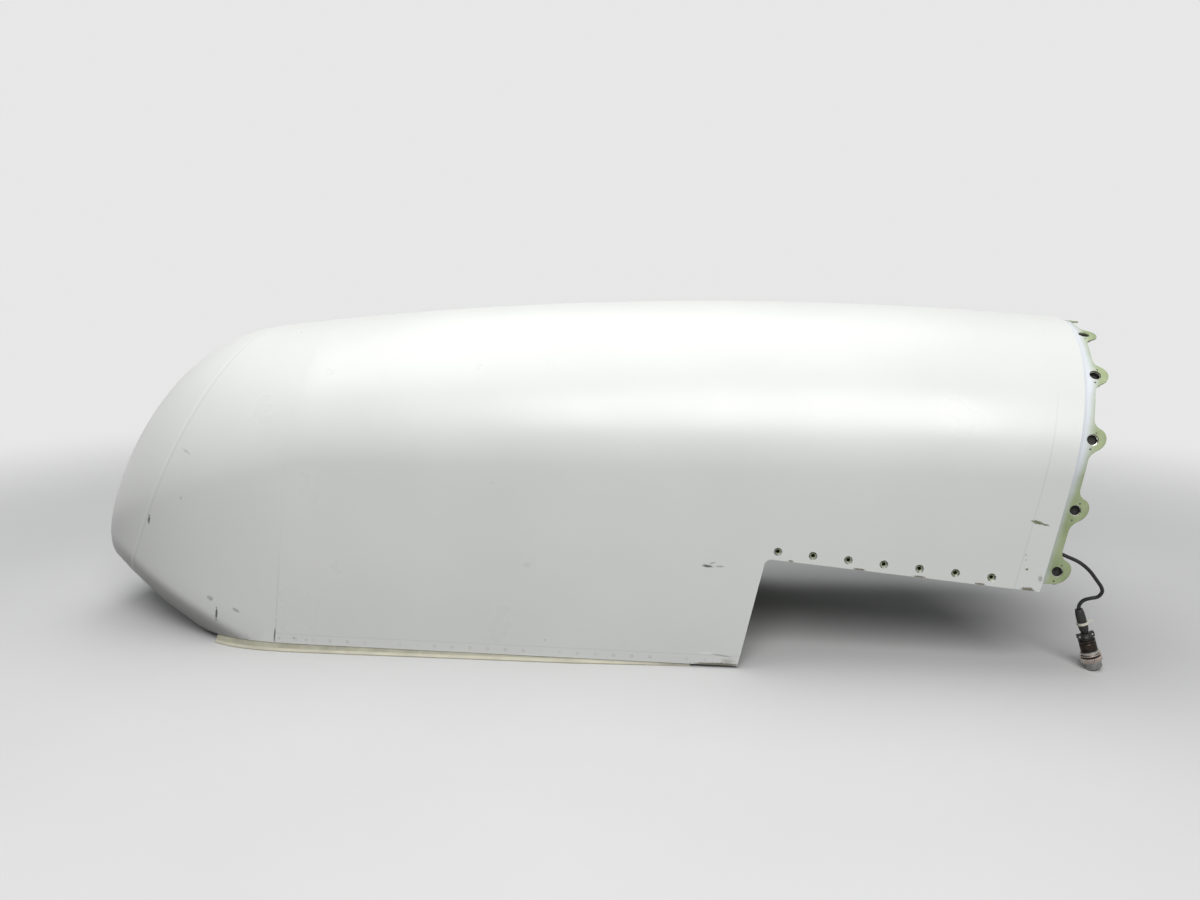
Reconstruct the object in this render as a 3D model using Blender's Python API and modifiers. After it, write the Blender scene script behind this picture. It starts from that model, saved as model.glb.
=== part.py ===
"""Nacelle fairing: a sheet metal shell with a blunt nose, riveted to formers and stringers.

The fairing is an upside-down trough. It stands on two rubber seal strips, its crown is on top,
its blunt nose points to -X and its scalloped attach flange to +X. Metres, +Z up.
The origin is on the floor, in the middle of the length and the width.
"""

import math
from bisect import bisect_right

import bmesh
import bpy
from mathutils import Matrix, Vector

# Overall form
HALF_WIDTH = 0.200            # from the middle plane to the outside of a side wall
CROWN_HEIGHT = 0.4392         # highest line of the crown above the floor
CROWN_PEAK_X = 0.2001         # where the crown is highest
CROWN_RUN = 0.608             # over this length from its peak ...
CROWN_DROP = 0.0364           # ... the crown falls by this much
SPRING_HEIGHT = 0.245         # the flat walls end and the crown's curve begins
SHEET = 0.0016                # skins
FRAME_SHEET = 0.0014          # formers, stringers and angles
SEAT_GAP = 0.0003             # between pieces that touch
UNDER_SKIN = 0.0007           # between the curved skins and what is riveted under them

# Nose
TIP_X = -0.6647
TIP_HEIGHT = 0.070
TIP_RISE = 0.045              # how far the profile climbs straight up from the tip
TIP_ROUNDING = 0.050          # length over which the underside rounds into the tip
BROW_X = -0.4070              # where the nose's profile meets the crown line
BROW_REACH = 0.1915           # how far the crown's direction carries on past the brow
NOSE_START_X = -0.3069        # where the side walls begin to curve in
PLAN_POWER = 2.1              # roundness of the nose seen from above
RAMP_START_X = -0.4958        # where the underside would meet the lip line
RAMP_SLOPE = 0.4712
RAMP_LIP = 0.0095             # height of that meeting
TURN_RADIUS = 0.058           # rounding between side wall and underside

# Lower edge, joint lines and the flanged end
LIP_AT_JOINT = 0.0105         # height of the skin's lower edge at the nose joint
LIP_AT_NOTCH = 0.0035         # and at the notch
JOINT_X = -0.3578             # nose joint at floor height
JOINT_LEAN = math.radians(6.5)
SEAM_X = -0.5768              # nose cap seam at SEAM_HEIGHT
SEAM_HEIGHT = 0.100
SEAM_LEAN = math.radians(28.0)
END_LOW_X = 0.5803            # lower corner of the flanged end, on the notch's top edge
END_LEAN_LOW = math.radians(11.75)
END_LEAN_CROWN = math.radians(8.5)

# Notch and its screw holes
NOTCH_X = 0.2304              # notch's upright edge at floor height
NOTCH_LEAN = math.radians(12.7)
NOTCH_CORNER_X = 0.2729
NOTCH_HEIGHT = 0.139          # notch's top edge at its corner
NOTCH_FALL = math.radians(5.5)
NOTCH_RADIUS = 0.009
SCREW_HOLES = 7
SCREW_PITCH = 0.0414
SCREW_FIRST_X = 0.2761
SCREW_MARGIN = 0.0105         # from the notch's top edge
SCREW_HOLE_RADIUS = 0.0026
COUNTERSINK_RADIUS = 0.0050
COUNTERSINK_ANGLE = math.radians(50.0)

# Attach flange
FLANGE_LAP = 0.038            # how far it reaches under the skin
FLANGE_SHEET = 0.0016
JOGGLE_START = 0.002          # inside the skin's edge
JOGGLE_END = 0.005            # outside it
JOGGLE_DEPTH = 0.0012
VALLEY_REACH = 0.013          # edge between two ears, from the skin's edge
EAR_REACH = 0.014             # centre of an ear's hole, from the skin's edge
EAR_RADIUS = 0.015
EAR_FILLET = 0.014
EAR_HOLE_RADIUS = 0.0065
EAR_SHARES = (0.0, 0.1835, 0.3762, 0.5746, 0.7708, 0.9440)    # from the crown to the lower corner
ARC_SHARES = (0.6, 1.0)       # points on an ear's round tip, as shares of its half width

# Quarter-turn receptacles behind the ears
RECEPTACLE_LENGTH = 0.033
RECEPTACLE_WIDTH = 0.017
RECEPTACLE_END_RADIUS = 0.006
RECEPTACLE_PLATE = 0.0008
RECEPTACLE_BARREL_RADIUS = 0.0076
RECEPTACLE_BORE_RADIUS = 0.0058
RECEPTACLE_BARREL_DEPTH = 0.0062

# Formers and stringers
FORMER_FOOT = 0.024           # width of a former against the skin
FORMER_DEPTH = 0.036
CAP_FORMER_DEPTH = 0.020
CAP_FORMER_SEAT = 0.0018      # clears the cap where it curves most
END_FORMER_INSET = 0.064      # from the skin's edge to the end former's web
NOTCH_FORMER_INSET = 0.040    # from the notch's upright edge to the notch former
HAT_CAP = 0.026               # flat top of a hat stringer
HAT_FOOT = 0.012
HAT_DEPTH = 0.014
HAT_FLARE = 0.004
FORMER_END_GAP = 0.0010       # between a former's ends and the angles below them
STRINGER_END_GAP = 0.0012     # between a stringer's ends and the formers

# Sill and notch angles
SILL_LEG = 0.026
SILL_SHELF = 0.018
NOTCH_LEG = 0.026
NOTCH_SHELF = 0.014
NOTCH_ANGLE_SETBACK = 0.012   # from the notch's upright edge
NOTCH_ANGLE_RISE = 0.001      # its lower face above the notch's edge
SIDE_STRINGER_ROOM = 0.005    # from the notch angles up to the side stringers

# Seal strips
SEAL_START_X = -0.4469
SEAL_END_X = 0.1737
SEAL_WEB = 0.0022
SEAL_HEIGHT = 0.024
SEAL_FOOT = 0.0024            # thickness of the foot
SEAL_LIP = 0.0042             # how far the foot stands outside the skin
SEAL_TAPER = 0.150            # length over which the foot fades out
SEAL_BEVEL = 0.008            # slant of its cut front end
SEAL_TURN_SHARE = 0.12        # extra room per height that the nose's wall has turned under

# Lead, grommet, clamps and end cap
LEAD_RADIUS = 0.0022
LEAD_HEIGHT_SHARE = 0.75      # up the near stringer's flat top
LEAD_SAG = 0.0012             # between its clamps
LEAD_SPACING = 0.011          # between the points of the held lead
STRAP = 0.0008
CUSHION = 0.0012
CLAMP_WIDTH = 0.0095
CLAMP_TAB = 0.011
CLAMP_XS = (0.4877, 0.3377)
CLAMP_SCREW_RADIUS = 0.0018
GROMMET_RADIUS = 0.0072
GROMMET_GROOVE_RADIUS = 0.0050
GROMMET_FLANGE = 0.0016
GROMMET_CLEARANCE = 0.0015    # between the grommet and the stringer behind it
LEAD_END_X = 0.2977
END_CAP_LENGTH = 0.022
END_CAP_RADIUS = 0.0036

# Connector, measured up its own axis from the mating face
CONNECTOR_X = 0.6639
CONNECTOR_Y = -0.155
CONNECTOR_TILT = math.radians(17.5)
SHELL_RADIUS = 0.0102
SHELL_BORE_RADIUS = 0.0086
SHELL_FRONT = 0.0090
NECK_RADIUS = 0.0093
NECK_TOP = 0.0222
TAIL_RADIUS = 0.0076
TAIL_TOP = 0.0320
RECESS_DEPTH = 0.012
INSERT_SETBACK = 0.0012
RING_RADIUS = 0.0125
RING_BORE_RADIUS = 0.0099
RING_LENGTH = 0.0090
RING_CHAMFER = 0.0006
KEEPER_RADIUS = 0.0108
BARREL_RADIUS = 0.0098
BARREL_TOP = 0.0368
CLAMP_BASE_RADIUS = 0.0082
CLAMP_BASE_TOP = 0.0392
SADDLE_WIDTH = 0.020
SADDLE_EAR_THICK = 0.0023
SADDLE_ARCH = 0.0016          # metal round the boot's neck
SADDLE_TOP = 0.0445
SADDLE_SCREW_INSET = 0.0024
SADDLE_SCREW_RADIUS = 0.0012
SADDLE_HEAD_RADIUS = 0.0021
SADDLE_HEAD_THICK = 0.0012
BOOT_NECK_RADIUS = 0.0036
BOOT_RADIUS = 0.0056
BOOT_SHOULDER = 0.0500
BOOT_TOP_RADIUS = 0.0046
BOOT_TOP = 0.0760
LEAD_SEAT = 0.010             # how far the lead enters the boot
TIE_HEIGHT = 0.0560
TIE_WIDTH = 0.0030
TIE_THICK = 0.0009
TIE_TAIL = 0.0060

# The free lead's route, from outside the grommet to the boot
LEAD_ROUTE = (
    (0.5517, -0.1757, 0.2010),
    (0.5627, -0.1768, 0.1890),
    (0.5747, -0.1785, 0.1740),
    (0.5907, -0.1800, 0.1590),
    (0.6110, -0.1800, 0.1492),
    (0.6289, -0.1767, 0.1408),
    (0.6427, -0.1737, 0.1300),
    (0.6527, -0.1710, 0.1180),
    (0.6599, -0.1685, 0.1085),
    (0.6622, -0.1664, 0.1015),
    (0.6588, -0.1640, 0.0948),
    (0.6518, -0.1614, 0.0918),
    (0.6456, -0.1585, 0.0885),
    (0.6416, -0.1563, 0.0828),
)

# How finely curves are divided
CROWN_STEPS = 15
WALL_STEPS = 2
FORMER_WALL_STEPS = 2
TURN_STEPS = 4
MAIN_SHARES = (0.0, 0.05, 0.12, 0.22, 0.33, 0.44, 0.55, 0.66, 0.77, 0.89, 1.0)
NOSE_SHARES = (0.0, 0.10, 0.23, 0.37, 0.52, 0.67, 0.83, 1.0)
CAP_SHARES = (0.0, 0.012, 0.045, 0.11, 0.21, 0.34, 0.49, 0.66, 0.83, 1.0)
SILL_STEPS = 6
BAY_STEPS = 4
FREE_LEAD_STEPS = 2
EVEN_PATH_STEPS = 12
ROUND_SEGMENTS = 18
BORE_SEGMENTS = 8
BARREL_SEGMENTS = 8
END_STEPS = 3
SMALL_SEGMENTS = 12
HALVINGS = 34
NUDGE_SHARE = 0.0005          # of the half width, for slopes
CUT_OVERRUN = 0.004
MERGE = 0.00001

RIGHT_ANGLE = math.radians(90)
SHARP_ANGLE = math.radians(35)

COLOURS = {
    "paint": ((0.80, 0.81, 0.80), 0.35, 0.0),
    "primer": ((0.47, 0.55, 0.30), 0.55, 0.0),
    "steel": ((0.55, 0.55, 0.54), 0.35, 1.0),
    "rubber": ((0.62, 0.60, 0.48), 0.60, 0.0),
    "black": ((0.02, 0.02, 0.02), 0.50, 0.0),
    "brown": ((0.05, 0.035, 0.025), 0.45, 0.0),
    "brass": ((0.62, 0.50, 0.38), 0.30, 1.0),
    "grey": ((0.42, 0.42, 0.40), 0.45, 0.6),
    "ivory": ((0.80, 0.78, 0.66), 0.50, 0.0),
}


# Scene, collections and materials
def clear_scene():
    for old in list(bpy.data.objects):
        bpy.data.objects.remove(old, do_unlink=True)


def new_collection(name):
    collection = bpy.data.collections.new(name)
    bpy.context.scene.collection.children.link(collection)
    return collection


clear_scene()
PARTS = new_collection("nacelle_fairing")
CUTTERS = new_collection("cutters")


def material_for(node, finish):
    colour, roughness, metallic = COLOURS[finish]
    material = bpy.data.materials.new(node)
    material.use_nodes = True
    shader = material.node_tree.nodes["Principled BSDF"]
    shader.inputs["Base Color"].default_value = (*colour, 1.0)
    shader.inputs["Roughness"].default_value = roughness
    shader.inputs["Metallic"].default_value = metallic
    return material


def add_part(name, data, finish, place=None, parent=None):
    part = bpy.data.objects.new(name, data)
    PARTS.objects.link(part)
    part.parent = parent
    if place is not None:
        part.matrix_local = place
    data.materials.append(material_for(name, finish))
    return part


def add_cutter(name, mesh, place=None, parent=None):
    cutter = bpy.data.objects.new(name, mesh)
    CUTTERS.objects.link(cutter)
    cutter.parent = parent
    if place is not None:
        cutter.matrix_local = place
    cutter.hide_render = True
    cutter.display_type = "WIRE"
    return cutter


def combine(part, other, operation="DIFFERENCE"):
    modifier = part.modifiers.new(other.name, "BOOLEAN")
    modifier.operation = operation
    modifier.solver = "EXACT"
    modifier.object = other


def evaluated_mesh(source):
    """The finished mesh of a helper object, which is then removed."""
    bpy.context.view_layer.update()
    graph = bpy.context.evaluated_depsgraph_get()
    mesh = bpy.data.meshes.new_from_object(source.evaluated_get(graph))
    bpy.data.objects.remove(source, do_unlink=True)
    return mesh


def finish_mesh(mesh, name):
    """Weld a closed mesh, turn its faces outwards and shade its round stretches smooth."""
    bm = bmesh.new()
    bm.from_mesh(mesh)
    bmesh.ops.remove_doubles(bm, verts=bm.verts, dist=MERGE)
    bmesh.ops.recalc_face_normals(bm, faces=bm.faces)
    bm.to_mesh(mesh)
    bm.free()
    mesh.name = name
    mesh.shade_smooth()
    mesh.set_sharp_from_angle(angle=SHARP_ANGLE)
    return mesh


# The outer surface of the closed body that the skins are cut from
def notch_top_z(x):
    return NOTCH_HEIGHT - math.tan(NOTCH_FALL) * (x - NOTCH_CORNER_X)


END_LOW_HEIGHT = notch_top_z(END_LOW_X)


def crown_line(x):
    return CROWN_HEIGHT - CROWN_DROP * ((x - CROWN_PEAK_X) / CROWN_RUN) ** 2


def bezier(a, b, c, d, t):
    s = 1 - t
    return s ** 3 * a + 3 * s * s * t * b + 3 * s * t * t * c + t ** 3 * d


def crown_z(x):
    """Height of the crown: a shallow arc, then one curve from the brow down to the tip."""
    if x >= BROW_X:
        return crown_line(x)
    slope = 2 * CROWN_DROP * (CROWN_PEAK_X - BROW_X) / CROWN_RUN ** 2
    brow = crown_line(BROW_X)
    low, high = 0.0, 1.0
    for _ in range(HALVINGS):
        t = (low + high) / 2
        if bezier(TIP_X, TIP_X, BROW_X - BROW_REACH, BROW_X, t) < x:
            low = t
        else:
            high = t
    return bezier(TIP_HEIGHT, TIP_HEIGHT + TIP_RISE, brow - slope * BROW_REACH, brow, t)


def nose_share(x):
    """0 at the tip, 1 where the walls run straight."""
    return min(max((x - TIP_X) / (NOSE_START_X - TIP_X), 0.0), 1.0)


def half_width(x):
    return HALF_WIDTH * (1 - (1 - nose_share(x)) ** PLAN_POWER) ** (1 / PLAN_POWER)


def spring_z(x):
    return TIP_HEIGHT + (SPRING_HEIGHT - TIP_HEIGHT) * math.sqrt(nose_share(x))


def ramp_z(x):
    return RAMP_LIP - RAMP_SLOPE * (x - RAMP_START_X)


def keel_z(x):
    """Height of the underside: a ramp that rounds into the tip, and dips below the lip behind it."""
    if x >= TIP_X + TIP_ROUNDING:
        return ramp_z(x)
    rest = 1 - max(x - TIP_X, 0.0) / TIP_ROUNDING
    drop = TIP_HEIGHT - ramp_z(TIP_X + TIP_ROUNDING)
    return TIP_HEIGHT - drop * math.sqrt(max(1 - rest * rest, 0.0))


def turn_radius(x):
    return min(TURN_RADIUS, half_width(x), max(spring_z(x) - keel_z(x), 0.0))


def turn_top(x):
    return keel_z(x) + turn_radius(x)


def lip_z(x):
    """Height of the skin's lower edge, which rises gently towards the nose."""
    share = (x - JOINT_X) / (NOTCH_X - JOINT_X)
    return LIP_AT_JOINT + (LIP_AT_NOTCH - LIP_AT_JOINT) * share


def section_point(x, sample, low):
    """Half section (y, z) at x. A sample is an arc or turn angle, a wall or floor share, or a height."""
    kind, value = sample
    width = half_width(x)
    spring = spring_z(x)
    if kind == "height" and value > spring:
        kind, value = "arc", math.acos((value - spring) / (crown_z(x) - spring))
    if kind == "arc":
        return width * math.sin(value), spring + (crown_z(x) - spring) * math.cos(value)
    if kind == "wall":
        return width, spring + (low(x) - spring) * value
    if kind == "height":
        return width, value
    radius = turn_radius(x)
    if kind == "turn":
        return width - radius * (1 - math.cos(value)), keel_z(x) + radius * (1 - math.sin(value))
    return (width - radius) * (1 - value), keel_z(x)


def turned_under(x):
    """How far above the lip the side wall begins to turn under."""
    return max(turn_top(x) - lip_z(x), 0.0)


def lip_half_width(x):
    """Half width of the outer surface at the lip."""
    radius = turn_radius(x)
    return half_width(x) - radius + math.sqrt(max(radius ** 2 - turned_under(x) ** 2, 0.0))


# Lines across the length, each giving x at a height
def joint_line(z):
    return JOINT_X + math.tan(JOINT_LEAN) * z


def seam_line(z):
    return SEAM_X + math.tan(SEAM_LEAN) * (z - SEAM_HEIGHT)


def notch_line(z):
    return NOTCH_X + math.tan(NOTCH_LEAN) * z


def end_line(z):
    rise = z - END_LOW_HEIGHT
    span = CROWN_HEIGHT - END_LOW_HEIGHT
    bend = (math.tan(END_LEAN_LOW) - math.tan(END_LEAN_CROWN)) / (2 * span)
    return END_LOW_X + math.tan(END_LEAN_LOW) * rise - bend * rise * rise


def tip_line(z):
    return TIP_X


def between(first, second, share):
    return lambda z: first(z) + (second(z) - first(z)) * share


def moved(line, along):
    return lambda z: line(z) + along


def station_x(line, along, sample, low):
    """The x at which a leaning line, moved along by a distance, meets the section's sample."""
    z = SPRING_HEIGHT
    for _ in range(HALVINGS):
        z = (z + section_point(line(z) + along, sample, low)[1]) / 2
    return line(z) + along


def surface(x, sample, low):
    return Vector((x, *section_point(x, sample, low)))


def outward(x, sample, low):
    """Outward normal on the +Y half."""
    kind, value = sample
    nudge = HALF_WIDTH * NUDGE_SHARE
    turn = -nudge if kind == "height" else nudge / HALF_WIDTH
    here = surface(x, sample, low)
    ahead = surface(x + nudge, sample, low) - here
    down = surface(x, (kind, value + turn), low) - surface(x, (kind, value - turn), low)
    return ahead.cross(down).normalized()


def skin_point(line, sample, along=0.0, depth=0.0, low=lip_z):
    """Point on the +Y half of the outer surface, or depth inside it."""
    x = station_x(line, along, sample, low)
    point = surface(x, sample, low)
    if depth:
        point -= outward(x, sample, low) * depth
    return point


def across(point, side):
    """The point on the far side, or its mirror image on the near side."""
    return Vector((point.x, side * point.y, point.z))


# Samples down one half of the section, from the crown
def crown_samples():
    return [("arc", RIGHT_ANGLE * i / CROWN_STEPS) for i in range(CROWN_STEPS + 1)]


def wall_samples(steps=WALL_STEPS):
    return [("wall", (i + 1) / steps) for i in range(steps)]


def ring_samples():
    turn = [("turn", RIGHT_ANGLE * (i + 1) / TURN_STEPS) for i in range(TURN_STEPS)]
    return crown_samples() + wall_samples() + turn + [("floor", 1.0)]


# Builders of shapes
def sheet(name, rows, thickness, finish, mirrored=False):
    """An open surface whose outer side is given, thickened inwards, with its mirror half if wanted."""
    bm = bmesh.new()
    grid = [[bm.verts.new(point) for point in row] for row in rows]
    for row, following in zip(grid, grid[1:]):
        for a, b, c, d in zip(row, following, following[1:], row[1:]):
            bm.faces.new((a, b, c, d))
    bmesh.ops.remove_doubles(bm, verts=bm.verts, dist=MERGE)
    mesh = bpy.data.meshes.new(name)
    bm.to_mesh(mesh)
    bm.free()
    mesh.shade_smooth()
    mesh.set_sharp_from_angle(angle=SHARP_ANGLE)
    part = add_part(name, mesh, finish)
    if mirrored:
        mirror = part.modifiers.new("far and near halves", "MIRROR")
        mirror.use_axis = (False, True, False)
        mirror.merge_threshold = MERGE
    solid = part.modifiers.new("thickness", "SOLIDIFY")
    solid.thickness = thickness
    solid.offset = -1
    solid.use_even_offset = True
    return part


def side_strip(name, stations, thickness, finish, side):
    """A folded strip along one side wall. Each station lists far side points from its top down."""
    rows = [[across(point, side) for point in station] for station in stations]
    if side < 0:
        rows = [row[::-1] for row in rows]
    return sheet(name, rows, thickness, finish)


def loft(name, sections, finish):
    """Skin over closed sections of equally many points."""
    bm = bmesh.new()
    rows = [[bm.verts.new(point) for point in section] for section in sections]
    for row, following in zip(rows, rows[1:]):
        ring = zip(row, following, following[1:] + following[:1], row[1:] + row[:1])
        for corners in ring:
            bm.faces.new(corners)
    bm.faces.new(rows[0])
    bm.faces.new(rows[-1])
    mesh = bpy.data.meshes.new(name)
    bm.to_mesh(mesh)
    bm.free()
    return add_part(name, finish_mesh(mesh, name), finish)


def plate_mesh(name, outline, thickness):
    """A flat outline in XY as a plate, with its middle at z = 0."""
    curve = bpy.data.curves.new(name, "CURVE")
    curve.dimensions = "2D"
    curve.fill_mode = "BOTH"
    curve.extrude = thickness / 2
    spline = curve.splines.new("POLY")
    spline.points.add(len(outline) - 1)
    spline.use_cyclic_u = True
    for target, (u, v) in zip(spline.points, outline):
        target.co = (u, v, 0.0, 1.0)
    return finish_mesh(evaluated_mesh(add_cutter(name, curve)), name)


def turned_mesh(name, profile, segments=ROUND_SEGMENTS, closed=False):
    """A profile of (radius, height) points, down its outer side, turned about Z."""
    mesh = bpy.data.meshes.new(name)
    edges = [(i, i + 1) for i in range(len(profile) - 1)]
    if closed:
        edges.append((len(profile) - 1, 0))
    mesh.from_pydata([(radius, 0.0, height) for radius, height in profile], edges, [])
    turning = add_cutter(name, mesh)
    screw = turning.modifiers.new("turned", "SCREW")
    screw.steps = segments
    screw.render_steps = segments
    screw.use_merge_vertices = True
    screw.merge_threshold = MERGE
    return finish_mesh(evaluated_mesh(turning), name)


def rod_mesh(name, radius, low, high, segments=SMALL_SEGMENTS, low_radius=None):
    """A cylinder or cone along Z from low to high."""
    bm = bmesh.new()
    bottom = radius if low_radius is None else low_radius
    bmesh.ops.create_cone(bm, cap_ends=True, segments=segments, radius1=bottom, radius2=radius,
                          depth=high - low, matrix=Matrix.Translation((0, 0, (low + high) / 2)))
    mesh = bpy.data.meshes.new(name)
    bm.to_mesh(mesh)
    bm.free()
    return mesh


def arc_points(centre, radius, start, end, steps):
    return [(centre[0] + radius * math.cos(start + (end - start) * i / steps),
             centre[1] + radius * math.sin(start + (end - start) * i / steps))
            for i in range(steps + 1)]


def frame_at(origin, z_axis, x_hint):
    """Matrix of a right-handed frame with its z axis along z_axis and its x axis near x_hint."""
    z = Vector(z_axis).normalized()
    y = z.cross(Vector(x_hint)).normalized()
    rotation = Matrix((y.cross(z), y, z)).transposed().to_4x4()
    return Matrix.Translation(origin) @ rotation


def tube(name, points, radius, finish):
    """A lead as a round curve through given points."""
    curve = bpy.data.curves.new(name, "CURVE")
    curve.dimensions = "3D"
    spline = curve.splines.new("POLY")
    spline.points.add(len(points) - 1)
    for target, point in zip(spline.points, points):
        target.co = (*point, 1.0)
    curve.bevel_depth = radius
    curve.bevel_resolution = 2
    curve.use_fill_caps = True
    return add_part(name, curve, finish)


def smooth_path(points, per_span):
    """Points on a smooth curve through the given ones."""
    path = [Vector(point) for point in points]
    ends = [2 * path[0] - path[1]] + path + [2 * path[-1] - path[-2]]
    result = []
    for a, b, c, d in zip(ends, ends[1:], ends[2:], ends[3:]):
        for i in range(per_span):
            t = i / per_span
            result.append((2 * b + (c - a) * t + (2 * a - 5 * b + 4 * c - d) * t * t
                           + (3 * b - a - 3 * c + d) * t ** 3) / 2)
    result.append(path[-1])
    return result


def even_path(points, spacing):
    """Points at most a spacing apart along a smooth curve through the given ones."""
    fine = smooth_path(points, EVEN_PATH_STEPS)
    lengths = [0.0]
    for a, b in zip(fine, fine[1:]):
        lengths.append(lengths[-1] + (b - a).length)
    count = math.ceil(lengths[-1] / spacing)
    path = []
    for i in range(count + 1):
        distance = lengths[-1] * i / count
        number = min(bisect_right(lengths, distance), len(fine) - 1)
        share = (distance - lengths[number - 1]) / (lengths[number] - lengths[number - 1])
        path.append(fine[number - 1].lerp(fine[number], share))
    return path


# Skins
def build_main_skin():
    path = crown_samples() + wall_samples()
    rows = [[skin_point(between(joint_line, end_line, share), sample) for sample in path]
            for share in MAIN_SHARES]
    rows[0] = [skin_point(joint_line, sample, along=SEAT_GAP) for sample in path]
    skin = sheet("main_skin", rows, SHEET, "paint", mirrored=True)
    combine(skin, notch_cutter())
    for side in (-1, 1):
        for countersink in countersink_cutters(side):
            combine(skin, countersink)


def notch_outline():
    """The notch seen from the side, with its rounded upper corner, run out past floor and end."""
    lean = math.tan(NOTCH_LEAN)
    fall = math.tan(NOTCH_FALL)
    corner_z = (NOTCH_HEIGHT + fall * (NOTCH_CORNER_X - NOTCH_X)) / (1 + fall * lean)
    corner = Vector((notch_line(corner_z), corner_z))
    down = Vector((-math.sin(NOTCH_LEAN), -math.cos(NOTCH_LEAN)))
    away = Vector((math.cos(NOTCH_FALL), -math.sin(NOTCH_FALL)))
    half = down.angle(away) / 2
    centre = corner + (down + away).normalized() * NOTCH_RADIUS / math.sin(half)
    rounded = arc_points(centre, NOTCH_RADIUS, math.pi - NOTCH_LEAN, RIGHT_ANGLE - NOTCH_FALL,
                         TURN_STEPS)
    far_x = END_LOW_X + NOTCH_HEIGHT
    floor = -CUT_OVERRUN
    return [(notch_line(floor), floor), *rounded, (far_x, notch_top_z(far_x)), (far_x, floor)]


def side_cutter(name, outline):
    """An outline in the side view, cut through both walls."""
    mesh = plate_mesh(name, outline, 2 * (HALF_WIDTH + CUT_OVERRUN))
    return add_cutter(name, mesh, Matrix.Rotation(RIGHT_ANGLE, 4, "X"))


def notch_cutter():
    return side_cutter("notch_cutter", notch_outline())


def lip_cutter():
    """Everything below the lip, under the nose."""
    front = TIP_X - CUT_OVERRUN
    back = joint_line(0) + FORMER_FOOT
    deep = -2 * TURN_RADIUS
    outline = [(front, deep), (front, lip_z(front)), (back, lip_z(back)), (back, deep)]
    return side_cutter("lip_cutter", outline)


def screw_frames(side):
    """On the outside of a wall, z pointing out, one for each screw along the notch."""
    for i in range(SCREW_HOLES):
        x = SCREW_FIRST_X + SCREW_PITCH * i
        place = Vector((x, side * HALF_WIDTH, notch_top_z(x) + SCREW_MARGIN))
        yield frame_at(place, (0, side, 0), (1, 0, 0))


def countersink_cutters(side):
    slope = math.tan(COUNTERSINK_ANGLE)
    for number, place in enumerate(screw_frames(side)):
        name = f"countersink_{side}_{number}"
        deep = SHEET + SEAT_GAP
        mesh = rod_mesh(name, COUNTERSINK_RADIUS + slope * SEAT_GAP, -deep, SEAT_GAP,
                        low_radius=COUNTERSINK_RADIUS - slope * deep)
        yield add_cutter(name, mesh, place)


def build_nose():
    path = ring_samples()
    rows = [[skin_point(between(seam_line, joint_line, share), sample, low=turn_top)
             for sample in path] for share in NOSE_SHARES]
    skin = sheet("nose_skin", rows, SHEET, "paint", mirrored=True)
    combine(skin, lip_cutter())
    cap_end = moved(seam_line, -SEAT_GAP)
    rows = [[skin_point(between(tip_line, cap_end, share), sample, low=turn_top)
             for sample in path] for share in CAP_SHARES]
    sheet("nose_cap", rows, SHEET, "paint", mirrored=True)


# Attach flange and its ears
def quarter_girth():
    """Angles and distances along the flanged end, from the crown to the springline."""
    steps = CROWN_STEPS ** 2
    angles = [RIGHT_ANGLE * i / steps for i in range(steps + 1)]
    points = [skin_point(end_line, ("arc", angle)) for angle in angles]
    lengths = [0.0]
    for a, b in zip(points, points[1:]):
        lengths.append(lengths[-1] + (b - a).length)
    return angles, lengths


GIRTH_ANGLES, GIRTH_LENGTHS = quarter_girth()


def girth_sample(distance):
    """The sample at a distance from the crown, measured round the flanged end."""
    total = GIRTH_LENGTHS[-1]
    if distance >= total:
        return "height", SPRING_HEIGHT - (distance - total) * math.cos(END_LEAN_LOW)
    number = sum(1 for length in GIRTH_LENGTHS if length <= distance)
    before = GIRTH_LENGTHS[number - 1]
    share = (distance - before) / (GIRTH_LENGTHS[number] - before)
    return "arc", GIRTH_ANGLES[number - 1] + (GIRTH_ANGLES[number] - GIRTH_ANGLES[number - 1]) * share


def side_girth():
    """Distance from the crown down the flanged end to its lower corner."""
    return GIRTH_LENGTHS[-1] + (SPRING_HEIGHT - END_LOW_HEIGHT) / math.cos(END_LEAN_LOW)


EAR_DISTANCES = [side_girth() * share for share in EAR_SHARES]


def ear_half_widths():
    """Half width of an ear's round tip, and of the ear with the fillets beside it."""
    joined = EAR_RADIUS + EAR_FILLET
    offset = VALLEY_REACH + EAR_FILLET - EAR_REACH
    whole = math.sqrt(joined ** 2 - offset ** 2)
    return whole * EAR_RADIUS / joined, whole


def edge_reach(distance):
    """How far the flange's edge stands out from the skin's edge."""
    tip, whole = ear_half_widths()
    away = min(abs(distance - middle) for middle in EAR_DISTANCES)
    if away <= tip:
        return EAR_REACH + math.sqrt(EAR_RADIUS ** 2 - away ** 2)
    if away < whole:
        return VALLEY_REACH + EAR_FILLET - math.sqrt(EAR_FILLET ** 2 - (whole - away) ** 2)
    return VALLEY_REACH


def ear_distances():
    """Distances at which the flange's outline needs a point, down one side from the crown."""
    tip, whole = ear_half_widths()
    marks = [tip * share for share in ARC_SHARES] + [(tip + whole) / 2, whole]
    distances = set(EAR_DISTANCES)
    distances.update(middle + mark for middle in EAR_DISTANCES[:-1] for mark in marks)
    distances.update(middle - mark for middle in EAR_DISTANCES[1:] for mark in marks)
    distances.update(EAR_DISTANCES[-1] + tip * share for share in ARC_SHARES)
    return sorted(distances)


def landing_depth():
    """Depth of the flange's face beyond the joggle."""
    return SHEET + UNDER_SKIN + JOGGLE_DEPTH


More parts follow.
